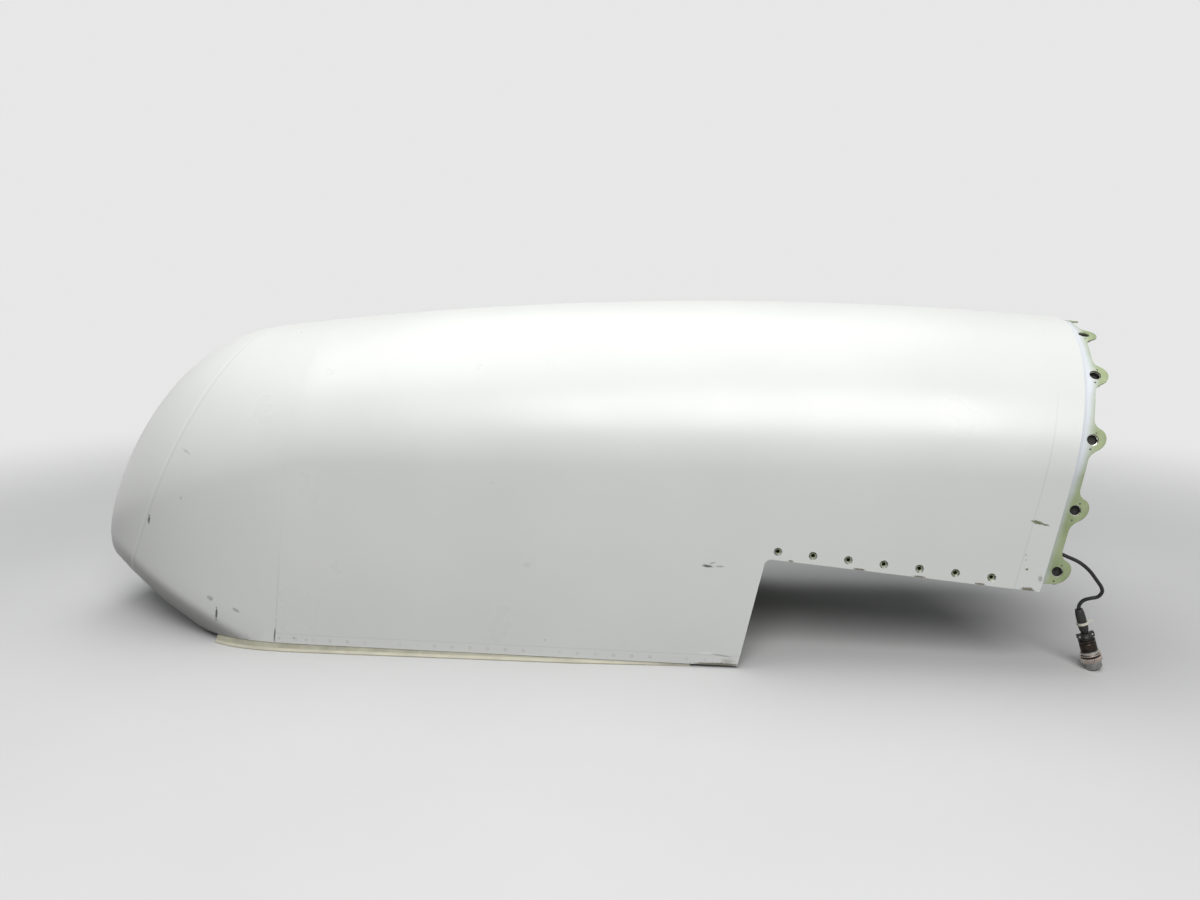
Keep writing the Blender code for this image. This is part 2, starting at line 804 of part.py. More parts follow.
def build_flange():
    samples = [(distance, girth_sample(distance)) for distance in ear_distances()]
    under = SHEET + UNDER_SKIN
    rows = [[skin_point(end_line, sample, along, depth) for _, sample in samples]
            for along, depth in ((-FLANGE_LAP, under), (-JOGGLE_START, under),
                                 (JOGGLE_END, landing_depth()))]
    rows.append([skin_point(end_line, sample, edge_reach(distance), landing_depth())
                 for distance, sample in samples])
    flange = sheet("attach_flange", rows, FLANGE_SHEET, "primer", mirrored=True)
    reach = FLANGE_SHEET + CUT_OVERRUN
    for number, place in enumerate(ear_frames(0.0)):
        name = f"ear_hole_{number}"
        combine(flange, add_cutter(name, rod_mesh(name, EAR_HOLE_RADIUS, -reach, reach), place))


def ear_order():
    """Side and distance of each ear, from the near side's lowest to the far side's lowest."""
    near = [(-1, distance) for distance in EAR_DISTANCES[:0:-1]]
    return near + [(1, distance) for distance in EAR_DISTANCES]


def ear_frames(extra_depth):
    """At each ear's hole, z pointing out and x along the girth."""
    depth = landing_depth() + extra_depth
    for side, distance in ear_order():
        sample = girth_sample(distance)
        x = station_x(end_line, EAR_REACH, sample, lip_z)
        middle = skin_point(end_line, sample, EAR_REACH, depth)
        below = skin_point(end_line, girth_sample(distance + EAR_RADIUS), EAR_REACH, depth)
        yield frame_at(across(middle, side), across(outward(x, sample, lip_z), side),
                       across(below - middle, side))


def receptacle_mesh():
    """A lozenge plate with a round barrel on its back. The front face is at z = 0."""
    half = RECEPTACLE_LENGTH / 2 - RECEPTACLE_END_RADIUS
    right = arc_points((half, 0), RECEPTACLE_END_RADIUS, -RIGHT_ANGLE, RIGHT_ANGLE, END_STEPS)
    left = arc_points((-half, 0), RECEPTACLE_END_RADIUS, RIGHT_ANGLE, 3 * RIGHT_ANGLE, END_STEPS)
    outline = [*right, (0, RECEPTACLE_WIDTH / 2), *left, (0, -RECEPTACLE_WIDTH / 2)]
    sunk = Matrix.Translation((0, 0, -RECEPTACLE_PLATE / 2))
    plate = add_cutter("plate", plate_mesh("plate", outline, RECEPTACLE_PLATE), sunk)
    back = -RECEPTACLE_BARREL_DEPTH
    middle = -RECEPTACLE_PLATE / 2
    barrel = rod_mesh("barrel", RECEPTACLE_BARREL_RADIUS, back, middle, BARREL_SEGMENTS)
    floor = back + RECEPTACLE_PLATE
    bore = rod_mesh("bore", RECEPTACLE_BORE_RADIUS, floor, CUT_OVERRUN, BARREL_SEGMENTS)
    combine(plate, add_cutter("barrel", barrel), "UNION")
    combine(plate, add_cutter("bore", bore))
    mesh = evaluated_mesh(plate)
    mesh.transform(sunk)
    return finish_mesh(mesh, "receptacle")


def curve_room(distance):
    """How far the flange's back curves away from a flat plate of a receptacle's length."""
    half = RECEPTACLE_LENGTH / 2
    depth = landing_depth() + FLANGE_SHEET
    middle, above, below = (skin_point(end_line, girth_sample(at), EAR_REACH, depth)
                            for at in (distance, max(distance - half, 0.0), distance + half))
    x = station_x(end_line, EAR_REACH, girth_sample(distance), lip_z)
    out = outward(x, girth_sample(distance), lip_z)
    return max((middle - above).dot(out), (middle - below).dot(out), 0.0)


def build_receptacles():
    mesh = receptacle_mesh()
    places = zip(ear_order(), ear_frames(FLANGE_SHEET + SEAT_GAP))
    for number, ((_, distance), place) in enumerate(places, start=1):
        place = place @ Matrix.Translation((0, 0, -curve_room(distance)))
        add_part(f"receptacle_{number}", mesh.copy(), "steel", place)


# Formers and stringers
def former(name, line, path, start, depth, low, seat=UNDER_SKIN):
    """An angle bent round the section: its foot under the skin, its web pointing inwards."""
    top = SHEET + seat
    profile = ((start, top + depth), (start, top), (start + FORMER_FOOT, top))
    rows = [[skin_point(line, sample, along, deep, low) for sample in path]
            for along, deep in profile]
    return sheet(name, rows, FRAME_SHEET, "primer", mirrored=True)


def above_sill(x):
    return lip_z(x) + SILL_LEG + FORMER_END_GAP


def above_notch_angle(x):
    return notch_top_z(x) + NOTCH_ANGLE_RISE + NOTCH_LEG + FORMER_END_GAP


def build_formers():
    path = crown_samples() + wall_samples(FORMER_WALL_STEPS)
    former("nose_former", joint_line, path, -FORMER_FOOT / 2, FORMER_DEPTH, above_sill)
    former("notch_former", notch_line, path, -NOTCH_FORMER_INSET, FORMER_DEPTH, above_sill)
    end = former("end_former", end_line, path, -END_FORMER_INSET, FORMER_DEPTH, above_notch_angle)
    reach = FRAME_SHEET + CUT_OVERRUN
    hole = rod_mesh("grommet_hole", GROMMET_GROOVE_RADIUS + SEAT_GAP, -reach, reach)
    combine(end, add_cutter("grommet_hole", hole, grommet_frame()))
    former("cap_former", seam_line, ring_samples(), -FORMER_FOOT / 2, CAP_FORMER_DEPTH, turn_top,
           seat=CAP_FORMER_SEAT)


def hat_outline():
    """Half of a hat stringer's folded outline, (offset, depth), from the middle of its flat top."""
    under = SHEET + UNDER_SKIN
    top = under + HAT_DEPTH - FRAME_SHEET
    return ((0.0, top), (HAT_CAP / 2, top), (HAT_CAP / 2 + HAT_FLARE, under),
            (HAT_CAP / 2 + HAT_FLARE + HAT_FOOT, under))


def stringer_bays():
    """The bays between formers, from one former's foot to the next one's web."""
    gap = STRINGER_END_GAP
    behind_joint = moved(joint_line, FORMER_FOOT / 2 + gap)
    before_notch = moved(notch_line, -NOTCH_FORMER_INSET - gap)
    behind_notch = moved(notch_line, FORMER_FOOT - NOTCH_FORMER_INSET + gap)
    before_end = moved(end_line, -END_FORMER_INSET - gap)
    return {"front": (behind_joint, before_notch), "aft": (behind_notch, before_end)}


def side_stringer_height():
    """Middle of the side stringers, above the notch angles."""
    half = HAT_CAP / 2 + HAT_FLARE + HAT_FOOT
    return NOTCH_HEIGHT + NOTCH_ANGLE_RISE + NOTCH_LEG + SIDE_STRINGER_ROOM + half


def build_stringers():
    middle = side_stringer_height()
    for bay, (start, end) in stringer_bays().items():
        lines = [between(start, end, i / BAY_STEPS) for i in range(BAY_STEPS + 1)]
        rows = [[skin_point(line, ("arc", offset / HALF_WIDTH), depth=depth)
                 for offset, depth in hat_outline()] for line in lines]
        sheet(f"crown_stringer_{bay}", rows, FRAME_SHEET, "primer", mirrored=True)
        upper = [(middle + offset, depth) for offset, depth in hat_outline()[:0:-1]]
        lower = [(middle - offset, depth) for offset, depth in hat_outline()[1:]]
        stations = [[skin_point(line, ("height", height), depth=depth)
                     for height, depth in upper + lower] for line in lines[::2]]
        for label, side in (("near", -1), ("far", 1)):
            name = f"side_stringer_{label}_{bay}"
            stringer = side_strip(name, stations, FRAME_SHEET, "primer", side)
            if (label, bay) == ("near", "aft"):
                for number, place in enumerate(clamp_frames()):
                    combine(stringer, clamp_bore(f"stringer_bore_{number}", place))


# Sill angles, notch angles and seals
def sill_stations():
    """X places along the nose's curve, from the seals' front end to where the walls run straight."""
    front = SEAL_START_X + SEAL_BEVEL
    return [front + (NOSE_START_X - front) * i / SILL_STEPS for i in range(SILL_STEPS + 1)]


def wall_inside(x):
    """Half width of the skin's inner face at the lip."""
    return lip_half_width(x) - SHEET - UNDER_SKIN - SEAL_TURN_SHARE * turned_under(x)


def build_sills():
    stations = []
    end_x = notch_line(above_sill(NOTCH_X)) - SEAT_GAP
    for x in sill_stations()[1:] + [end_x]:
        wall = wall_inside(x) - SEAL_WEB - SEAT_GAP
        low = lip_z(x)
        top = low + SILL_LEG
        foot_x = x - math.tan(NOTCH_LEAN) * SILL_LEG if x == end_x else x
        stations.append([Vector((x, wall - SILL_SHELF, top)), Vector((x, wall, top)),
                         Vector((foot_x, wall, low))])
    for label, side in (("near", -1), ("far", 1)):
        side_strip(f"sill_angle_{label}", stations, FRAME_SHEET, "primer", side)


def seal_section(x, side):
    """A web behind the skin and a foot that reaches out under it and fades towards the rear."""
    taper_start = SEAL_END_X - SEAL_TAPER
    outer = wall_inside(x)
    inner = outer - SEAL_WEB
    fade = max(0.0, (x - taper_start) / SEAL_TAPER)
    full = lip_half_width(x) + SEAL_LIP
    foot = full + (outer + SEAT_GAP - full) * fade
    slant = SEAL_BEVEL / SEAL_HEIGHT if x == SEAL_START_X else 0.0
    profile = [(outer, lip_z(x) + SEAL_HEIGHT), (outer, SEAL_FOOT), (foot, SEAL_FOOT), (foot, 0.0),
               (inner, 0.0), (inner, lip_z(x) + SEAL_HEIGHT)]
    return [(x + slant * z, side * y, z) for y, z in profile]


def build_seals():
    xs = [SEAL_START_X, *sill_stations()[1:], SEAL_END_X - SEAL_TAPER, SEAL_END_X]
    for label, side in (("near", -1), ("far", 1)):
        loft(f"seal_strip_{label}", [seal_section(x, side) for x in xs], "rubber")


def build_notch_angles():
    wall = HALF_WIDTH - SHEET - SEAT_GAP
    start_x = notch_line(NOTCH_HEIGHT) + NOTCH_ANGLE_SETBACK
    end_x = end_line(END_LOW_HEIGHT + NOTCH_ANGLE_RISE) - FLANGE_LAP - 2 * SEAT_GAP
    stations = []
    for x in (start_x, end_x):
        low = notch_top_z(x) + NOTCH_ANGLE_RISE
        stations.append([Vector((x, wall, low + NOTCH_LEG)), Vector((x, wall, low)),
                         Vector((x, wall - NOTCH_SHELF, low))])
    reach = SHEET + SEAT_GAP + FRAME_SHEET + CUT_OVERRUN
    for label, side in (("near", -1), ("far", 1)):
        angle = side_strip(f"notch_angle_{label}", stations, FRAME_SHEET, "primer", side)
        for number, place in enumerate(screw_frames(side)):
            name = f"screw_bore_{label}_{number}"
            bore = rod_mesh(name, SCREW_HOLE_RADIUS, -reach, 0, BORE_SEGMENTS)
            combine(angle, add_cutter(name, bore, place))


# Lead, grommet, clamps and end cap
def strap_radius():
    return LEAD_RADIUS + CUSHION + 2 * SEAT_GAP + STRAP


def stringer_top():
    """Depth of the side stringer's flat top, inside the wall's outer face."""
    return SHEET + UNDER_SKIN + HAT_DEPTH


def stringer_face(x, share):
    """On the near stringer's flat top, a share of the way up it: x along it, z away from it."""
    middle = side_stringer_height()
    low, high = (across(skin_point(lambda z: x, ("height", middle + offset), depth=stringer_top()), -1)
                 for offset in (-HAT_CAP / 2, HAT_CAP / 2))
    along = Vector((1, 0, 0))
    return frame_at(low.lerp(high, share), (high - low).cross(along), along)


def lead_frame(x, sag=0.0):
    """At the middle of the clamped lead: x along it, y down the wall, z away from the stringer."""
    away = SEAT_GAP + strap_radius()
    return stringer_face(x, LEAD_HEIGHT_SHARE) @ Matrix.Translation((0, sag, away))


def lead_place(x, sag=0.0):
    return lead_frame(x, sag).translation


def grommet_frame():
    """Middle of the grommet, z along its bore towards the flanged end, square to the former's web."""
    beside = stringer_face(CLAMP_XS[0], LEAD_HEIGHT_SHARE)
    middle = beside @ Vector((0, 0, GROMMET_RADIUS + GROMMET_CLEARANCE))
    rise = FORMER_FOOT
    lean = (end_line(middle.z + rise) - end_line(middle.z - rise)) / (2 * rise)
    middle.x = end_line(middle.z) - END_FORMER_INSET + FRAME_SHEET / 2
    return frame_at(middle, (1, 0, -lean), (0, 1, 0))


def grommet_half():
    return FRAME_SHEET / 2 + SEAT_GAP + GROMMET_FLANGE


def build_grommet():
    bore = LEAD_RADIUS + SEAT_GAP
    face = FRAME_SHEET / 2 + SEAT_GAP
    back = grommet_half()
    profile = [(bore, back), (GROMMET_RADIUS, back), (GROMMET_RADIUS, face),
               (GROMMET_GROOVE_RADIUS, face), (GROMMET_GROOVE_RADIUS, -face),
               (GROMMET_RADIUS, -face), (GROMMET_RADIUS, -back), (bore, -back)]
    mesh = turned_mesh("grommet", profile, SMALL_SEGMENTS, closed=True)
    add_part("grommet", mesh, "black", grommet_frame())


def clamp_frames():
    for x in CLAMP_XS:
        yield lead_frame(x)


def build_clamps():
    outer = strap_radius()
    inner = outer - STRAP
    tab = outer + CLAMP_TAB
    mouth = math.asin(inner / outer)
    loop = arc_points((0, 0), outer, -RIGHT_ANGLE, mouth - 4 * RIGHT_ANGLE, SMALL_SEGMENTS)
    hollow = arc_points((0, 0), inner, mouth - 4 * RIGHT_ANGLE, -RIGHT_ANGLE, SMALL_SEGMENTS)
    outline = [(tab, -outer), *loop, *hollow, (tab, -inner)]
    along_lead = frame_at(Vector(), (1, 0, 0), (0, 1, 0))
    cushion_out = inner - SEAT_GAP
    cushion_in = LEAD_RADIUS + SEAT_GAP
    half = CLAMP_WIDTH / 2
    ring = [(cushion_in, half), (cushion_out, half), (cushion_out, -half), (cushion_in, -half)]
    for number, place in enumerate(clamp_frames(), start=1):
        mesh = plate_mesh("strap", outline, CLAMP_WIDTH)
        strap = add_part(f"lead_clamp_{number}", mesh, "steel", place @ along_lead)
        combine(strap, clamp_bore(f"strap_bore_{number}", place))
        mesh = turned_mesh("cushion", ring, SMALL_SEGMENTS, closed=True)
        add_part(f"clamp_cushion_{number}", mesh, "black", place @ along_lead)
        build_clamp_screw(number, place)


def clamp_screw_place(place):
    """On the strap's tab, z pointing away from the stringer."""
    outer = strap_radius()
    return place @ Matrix.Translation((0, outer + CLAMP_TAB / 2, STRAP - outer))


def clamp_bore(name, place):
    reach = STRAP + FRAME_SHEET + CUT_OVERRUN
    bore = rod_mesh(name, CLAMP_SCREW_RADIUS + SEAT_GAP, -reach, reach, BORE_SEGMENTS)
    return add_cutter(name, bore, clamp_screw_place(place))


def build_clamp_screw(number, place):
    shank = CLAMP_SCREW_RADIUS
    head = 2 * shank
    grip = STRAP + FRAME_SHEET + 2 * SEAT_GAP
    profile = [(0, SEAT_GAP + shank), (head, SEAT_GAP + shank), (head, SEAT_GAP), (shank, SEAT_GAP),
               (shank, -grip), (head, -grip), (head, -grip - shank), (0, -grip - shank)]
    mesh = turned_mesh("clamp_screw", profile, BORE_SEGMENTS)
    add_part(f"clamp_screw_{number}", mesh, "steel", clamp_screw_place(place))


def build_leads():
    grommet = grommet_frame()
    half = grommet_half()

    def through(distance):
        return grommet @ Vector((0, 0, distance))
    ease = 3 * LEAD_RADIUS
    connector = connector_frame()
    entry = connector @ Vector((0, 0, BOOT_TOP))
    seat = connector @ Vector((0, 0, BOOT_TOP - LEAD_SEAT))
    free = [through(half), through(half + ease), *LEAD_ROUTE, entry, seat]
    tube("lead_free", smooth_path(free, FREE_LEAD_STEPS), LEAD_RADIUS, "black")
    held = [through(half - SEAT_GAP), through(-half), through(-half - ease)]
    before = CLAMP_XS[0] + CLAMP_WIDTH
    between_clamps = lead_place(sum(CLAMP_XS) / 2, LEAD_SAG)
    first, last = (lead_place(x) for x in CLAMP_XS)
    held += [lead_place(before + ease), lead_place(before), first, between_clamps, last,
             lead_place(LEAD_END_X)]
    tube("lead_inside", even_path(held, LEAD_SPACING), LEAD_RADIUS, "black")
    bore = LEAD_RADIUS + SEAT_GAP
    deep = END_CAP_LENGTH / 2
    profile = [(0, -SEAT_GAP), (bore, -SEAT_GAP), (bore, deep), (END_CAP_RADIUS, deep),
               (END_CAP_RADIUS, -deep), (0, -deep)]
    mesh = turned_mesh("lead_end_cap", profile, SMALL_SEGMENTS)
    place = frame_at(lead_place(LEAD_END_X), (1, 0, 0), (0, 1, 0))
    add_part("lead_end_cap", mesh, "ivory", place)


# Connector on the lead's end
def connector_frame():
    """Origin at the middle of the mating face, z up the connector towards its boot."""
    lift = SHELL_RADIUS * math.sin(CONNECTOR_TILT) + SEAT_GAP
    up = (-math.sin(CONNECTOR_TILT), 0, math.cos(CONNECTOR_TILT))
    return frame_at(Vector((CONNECTOR_X, CONNECTOR_Y, lift)), up, (1, 0, 0))


def connector_axis():
    """An empty that carries the connector's pieces and the coupling ring's axis."""
    axis = bpy.data.objects.new("connector_axis", None)
    PARTS.objects.link(axis)
    axis.matrix_local = connector_frame()
    return axis


def build_shell(axis):
    profile = [(0, TAIL_TOP), (TAIL_RADIUS, TAIL_TOP), (TAIL_RADIUS, NECK_TOP),
               (NECK_RADIUS, NECK_TOP), (NECK_RADIUS, SHELL_FRONT), (SHELL_RADIUS, SHELL_FRONT),
               (SHELL_RADIUS, 0), (SHELL_BORE_RADIUS, 0), (SHELL_BORE_RADIUS, RECESS_DEPTH),
               (0, RECESS_DEPTH)]
    add_part("connector_shell", turned_mesh("connector_shell", profile), "grey", parent=axis)
    insert = rod_mesh("connector_insert", SHELL_BORE_RADIUS - SEAT_GAP, INSERT_SETBACK,
                      RECESS_DEPTH - SEAT_GAP)
    add_part("connector_insert", insert, "black", parent=axis)


def build_rings(axis):
    low = SHELL_FRONT + SEAT_GAP
    high = low + RING_LENGTH
    edge = RING_RADIUS - RING_CHAMFER
    profile = [(RING_BORE_RADIUS, high), (edge, high), (RING_RADIUS, high - RING_CHAMFER),
               (RING_RADIUS, low + RING_CHAMFER), (edge, low), (RING_BORE_RADIUS, low)]
    ring = turned_mesh("coupling_ring", profile, closed=True)
    add_part("coupling_ring", ring, "brass", parent=axis)
    bore = NECK_RADIUS + SEAT_GAP
    top = NECK_TOP - SEAT_GAP
    keeper = [(bore, top), (KEEPER_RADIUS, top), (KEEPER_RADIUS, high + SEAT_GAP),
              (bore, high + SEAT_GAP)]
    mesh = turned_mesh("keeper_ring", keeper, closed=True)
    add_part("keeper_ring", mesh, "steel", parent=axis)


def build_backshell(axis):
    bore = TAIL_RADIUS + SEAT_GAP
    floor = TAIL_TOP + SEAT_GAP
    hole = BOOT_NECK_RADIUS + SEAT_GAP
    bottom = NECK_TOP + SEAT_GAP
    profile = [(hole, BARREL_TOP), (BARREL_RADIUS, BARREL_TOP), (BARREL_RADIUS, bottom),
               (bore, bottom), (bore, floor), (hole, floor)]
    mesh = turned_mesh("backshell_barrel", profile, closed=True)
    add_part("backshell_barrel", mesh, "brown", parent=axis)
    wide = hole + SADDLE_ARCH / 2
    base = [(wide, CLAMP_BASE_TOP), (CLAMP_BASE_RADIUS, CLAMP_BASE_TOP),
            (CLAMP_BASE_RADIUS, BARREL_TOP + SEAT_GAP), (wide, BARREL_TOP + SEAT_GAP)]
    clamp = add_part("cable_clamp", turned_mesh("cable_clamp", base, closed=True), "black",
                     parent=axis)
    combine(clamp, saddle_half("clamp_half", -1, CLAMP_BASE_TOP - SEAT_GAP, axis), "UNION")
    low = CLAMP_BASE_TOP + SEAT_GAP
    mesh = saddle_mesh("clamp_saddle", 1, low)
    saddle = add_part("clamp_saddle", mesh, "black", saddle_place(low), axis)
    for number, sign in enumerate((-1, 1), start=1):
        place = saddle_screw_place(sign)
        reach = SADDLE_EAR_THICK + CUT_OVERRUN
        bore = rod_mesh("saddle_bore", SADDLE_SCREW_RADIUS + SEAT_GAP, -reach, reach, BORE_SEGMENTS)
        cutter = add_cutter(f"saddle_bore_{number}", bore, place, axis)
        combine(clamp, cutter)
        combine(saddle, cutter)
        build_saddle_screw(number, place, axis)


def saddle_place(low):
    return Matrix.Translation((0, 0, (low + SADDLE_TOP) / 2))


def saddle_mesh(name, side, low):
    """Half of the cable clamp: two ears and an arch over the boot's neck, on one side of y = 0."""
    hole = BOOT_NECK_RADIUS + SEAT_GAP
    arch = hole + SADDLE_ARCH
    half = SADDLE_WIDTH / 2
    back = SEAT_GAP + SADDLE_EAR_THICK
    start = math.asin(SEAT_GAP / hole)
    meet = math.asin(back / arch)
    inside = arc_points((0, 0), hole, start, math.pi - start, BORE_SEGMENTS)
    outside = arc_points((0, 0), arch, math.pi - meet, meet, BORE_SEGMENTS)
    outline = [(half, SEAT_GAP), *inside, (-half, SEAT_GAP), (-half, back), *outside, (half, back)]
    return plate_mesh(name, [(x, side * y) for x, y in outline], SADDLE_TOP - low)


def saddle_half(name, side, low, axis):
    return add_cutter(name, saddle_mesh(name, side, low), saddle_place(low), axis)


def saddle_screw_place(sign):
    """In an ear, z pointing out of the saddle's face."""
    low = CLAMP_BASE_TOP + SEAT_GAP
    x = sign * (SADDLE_WIDTH / 2 - SADDLE_SCREW_INSET)
    return frame_at(Vector((x, 0, (low + SADDLE_TOP) / 2)), (0, 1, 0), (1, 0, 0))


def build_saddle_screw(number, place, axis):
    seat = 2 * SEAT_GAP + SADDLE_EAR_THICK
    top = seat + SADDLE_HEAD_THICK
    profile = [(0, top), (SADDLE_HEAD_RADIUS, top), (SADDLE_HEAD_RADIUS, seat),
               (SADDLE_SCREW_RADIUS, seat), (SADDLE_SCREW_RADIUS, -seat), (0, -seat)]
    mesh = turned_mesh("saddle_screw", profile, BORE_SEGMENTS)
    add_part(f"saddle_screw_{number}", mesh, "steel", place, axis)


def build_boot(axis):
    bore = LEAD_RADIUS + SEAT_GAP
    floor = BOOT_TOP - LEAD_SEAT - SEAT_GAP
    neck_top = SADDLE_TOP + SEAT_GAP
    neck_low = TAIL_TOP + 2 * SEAT_GAP
    profile = [(0, floor), (bore, floor), (bore, BOOT_TOP), (BOOT_TOP_RADIUS, BOOT_TOP),
               (BOOT_RADIUS, BOOT_TOP - LEAD_SEAT), (BOOT_RADIUS, BOOT_SHOULDER),
               (BOOT_NECK_RADIUS, neck_top), (BOOT_NECK_RADIUS, neck_low), (0, neck_low)]
    mesh = turned_mesh("lead_boot", profile, SMALL_SEGMENTS)
    add_part("lead_boot", mesh, "black", parent=axis)
    inner = BOOT_RADIUS + SEAT_GAP
    outer = inner + TIE_THICK
    top = TIE_HEIGHT + TIE_WIDTH
    ring = [(inner, top), (outer, top), (outer, TIE_HEIGHT), (inner, TIE_HEIGHT)]
    mesh = turned_mesh("lead_tie", ring, SMALL_SEGMENTS, closed=True)
    tie = add_part("lead_tie", mesh, "ivory", parent=axis)
    root = (inner + outer) / 2
    tail = [(root, -TIE_THICK), (outer + TIE_TAIL, -TIE_THICK), (outer + TIE_TAIL, TIE_THICK),
            (root, TIE_THICK)]
    middle = Matrix.Translation((0, 0, TIE_HEIGHT + TIE_WIDTH / 2))
    cutter = add_cutter("tie_tail", plate_mesh("tie_tail", tail, TIE_WIDTH / 2), middle, axis)
    combine(tie, cutter, "UNION")


def build_connector():
    axis = connector_axis()
    build_shell(axis)
    build_rings(axis)
    build_backshell(axis)
    build_boot(axis)


build_main_skin()
build_nose()
build_flange()
build_receptacles()
build_formers()
build_stringers()
build_sills()
build_seals()
build_notch_angles()
build_grommet()
build_clamps()
build_leads()
build_connector()
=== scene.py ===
"""Looks of a nacelle fairing: a white painted sheet metal shell with a blunt nose,
a primed attach flange, rubber sill seals and a short lead with a round connector."""

import math
from bisect import bisect_right
from contextlib import contextmanager

import bpy
from mathutils import Matrix, Vector


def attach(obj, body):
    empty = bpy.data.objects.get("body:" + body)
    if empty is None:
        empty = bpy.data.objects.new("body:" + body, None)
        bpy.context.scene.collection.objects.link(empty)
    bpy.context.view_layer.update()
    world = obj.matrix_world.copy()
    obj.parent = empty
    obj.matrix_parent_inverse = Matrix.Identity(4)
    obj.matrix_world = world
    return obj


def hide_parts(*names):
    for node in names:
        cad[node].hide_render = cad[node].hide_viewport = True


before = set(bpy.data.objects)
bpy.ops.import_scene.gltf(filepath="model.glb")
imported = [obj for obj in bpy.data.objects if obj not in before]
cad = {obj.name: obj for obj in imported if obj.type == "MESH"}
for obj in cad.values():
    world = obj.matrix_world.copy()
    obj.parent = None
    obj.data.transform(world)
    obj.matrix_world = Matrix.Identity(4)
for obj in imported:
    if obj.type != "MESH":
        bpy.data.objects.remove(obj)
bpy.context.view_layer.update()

# Camera. It stands a little higher than the crown and right of the middle, and looks slightly
# down on the near wall.


def add_object(name, data):
    thing = bpy.data.objects.new(name, data)
    bpy.context.scene.collection.objects.link(thing)
    return thing


camera = add_object("camera", bpy.data.cameras.new("camera"))
camera.data.sensor_width = 36.0
camera.data.lens = 31.5
camera.location = (0.1923, -1.4291, 0.4866)
camera.rotation_euler = (math.radians(80.0), 0.0, math.radians(6.034))
bpy.context.scene.camera = camera
bpy.context.scene.view_settings.view_transform = "Standard"

# Lead. A round cable in a black plastic sheath. It comes out of the end former's grommet,
# passes under the flange and bends round into the boot on its connector.
LEAD_DIAMETER = 0.0044
LEAD_STEPS = 6
LEAD_POINTS = (
    (0.5389, -0.1750, 0.2060),
    (0.5454, -0.1750, 0.2048),
    (0.5517, -0.1757, 0.2010),
    (0.5627, -0.1768, 0.1890),
    (0.5747, -0.1785, 0.1740),
    (0.5907, -0.1800, 0.1590),
    (0.6110, -0.1800, 0.1492),
    (0.6289, -0.1767, 0.1408),
    (0.6427, -0.1737, 0.1300),
    (0.6527, -0.1710, 0.1180),
    (0.6599, -0.1685, 0.1085),
    (0.6622, -0.1664, 0.1015),
    (0.6588, -0.1640, 0.0948),
    (0.6518, -0.1614, 0.0918),
    (0.6456, -0.1585, 0.0885),
    (0.6416, -0.1563, 0.0828),
    (0.6410, -0.1550, 0.0758),
    (0.6441, -0.1550, 0.0663),
)


def smooth_line(points, steps):
    """Points on a smooth curve through the given ones."""
    path = [Vector(point) for point in points]
    ends = [2 * path[0] - path[1]] + path + [2 * path[-1] - path[-2]]
    line = []
    for a, b, c, d in zip(ends, ends[1:], ends[2:], ends[3:]):
        for i in range(steps):
            t = i / steps
            line.append((2 * b + (c - a) * t + (2 * a - 5 * b + 4 * c - d) * t * t
                         + (3 * b - a - 3 * c + d) * t ** 3) / 2)
    line.append(path[-1])
    return line


def poly_curve(name, dimensions, points, closed=False):
    """A curve that runs straight from point to point."""
    curve = bpy.data.curves.new(name, "CURVE")
    curve.dimensions = dimensions
    spline = curve.splines.new("POLY")
    spline.points.add(len(points) - 1)
    spline.use_cyclic_u = closed
    for target, point in zip(spline.points, points):
        target.co = (*point, 1.0)
    return curve


def new_material(name, colour, roughness, metallic=0.0):
    """A material with its shader, and the tree that the shader stands in."""
    material = bpy.data.materials.new(name)
    material.use_nodes = True
    tree = material.node_tree
    shader = tree.nodes["Principled BSDF"]
    shader.inputs["Base Color"].default_value = (*colour, 1.0)
    shader.inputs["Roughness"].default_value = roughness
    shader.inputs["Metallic"].default_value = metallic
    return material, tree, shader


def place_of(tree):
    """Output of the surface's own place, in metres."""
    return tree.nodes.new("ShaderNodeTexCoord").outputs["Object"]


def noise(tree, scale, detail=3.0):
    texture = tree.nodes.new("ShaderNodeTexNoise")
    texture.inputs["Scale"].default_value = scale
    texture.inputs["Detail"].default_value = detail
    tree.links.new(place_of(tree), texture.inputs["Vector"])
    return texture.outputs["Fac"]


def ramp(tree, value, low, high, start=0.0, end=1.0):
    """A value that runs from low to high, eased so that it runs from start to end."""
    step = tree.nodes.new("ShaderNodeMapRange")
    step.interpolation_type = "SMOOTHSTEP"
    for socket, number in zip(step.inputs[1:5], (low, high, start, end)):
        socket.default_value = number
    tree.links.new(value, step.inputs["Value"])
    return step.outputs["Result"]


def maths(tree, operation, first, second=0.0):
    step = tree.nodes.new("ShaderNodeMath")
    step.operation = operation
    for socket, value in zip(step.inputs, (first, second)):
        if isinstance(value, (int, float)):
            socket.default_value = value
        else:
            tree.links.new(value, socket)
    return step.outputs["Value"]


def plus(tree, first, second):
    return maths(tree, "ADD", first, second)


def minus(tree, first, second):
    return maths(tree, "SUBTRACT", first, second)


def times(tree, first, second):
    return maths(tree, "MULTIPLY", first, second)


def blend_colour(tree, factor, first, second):
    """The first colour where factor is 0, the second where it is 1."""
    mix = tree.nodes.new("ShaderNodeMix")
    mix.data_type = "RGBA"
    tree.links.new(factor, mix.inputs["Factor"])
    for socket, colour in ((mix.inputs[6], first), (mix.inputs[7], second)):
        if isinstance(colour, tuple):
            socket.default_value = (*colour, 1.0)
        else:
            tree.links.new(colour, socket)
    return mix.outputs[2]


def roughen(tree, shader, scale, detail, low, high):
    """A roughness that noise carries from low to high."""
    tree.links.new(ramp(tree, noise(tree, scale, detail), 0.3, 0.7, low, high),
                   shader.inputs["Roughness"])


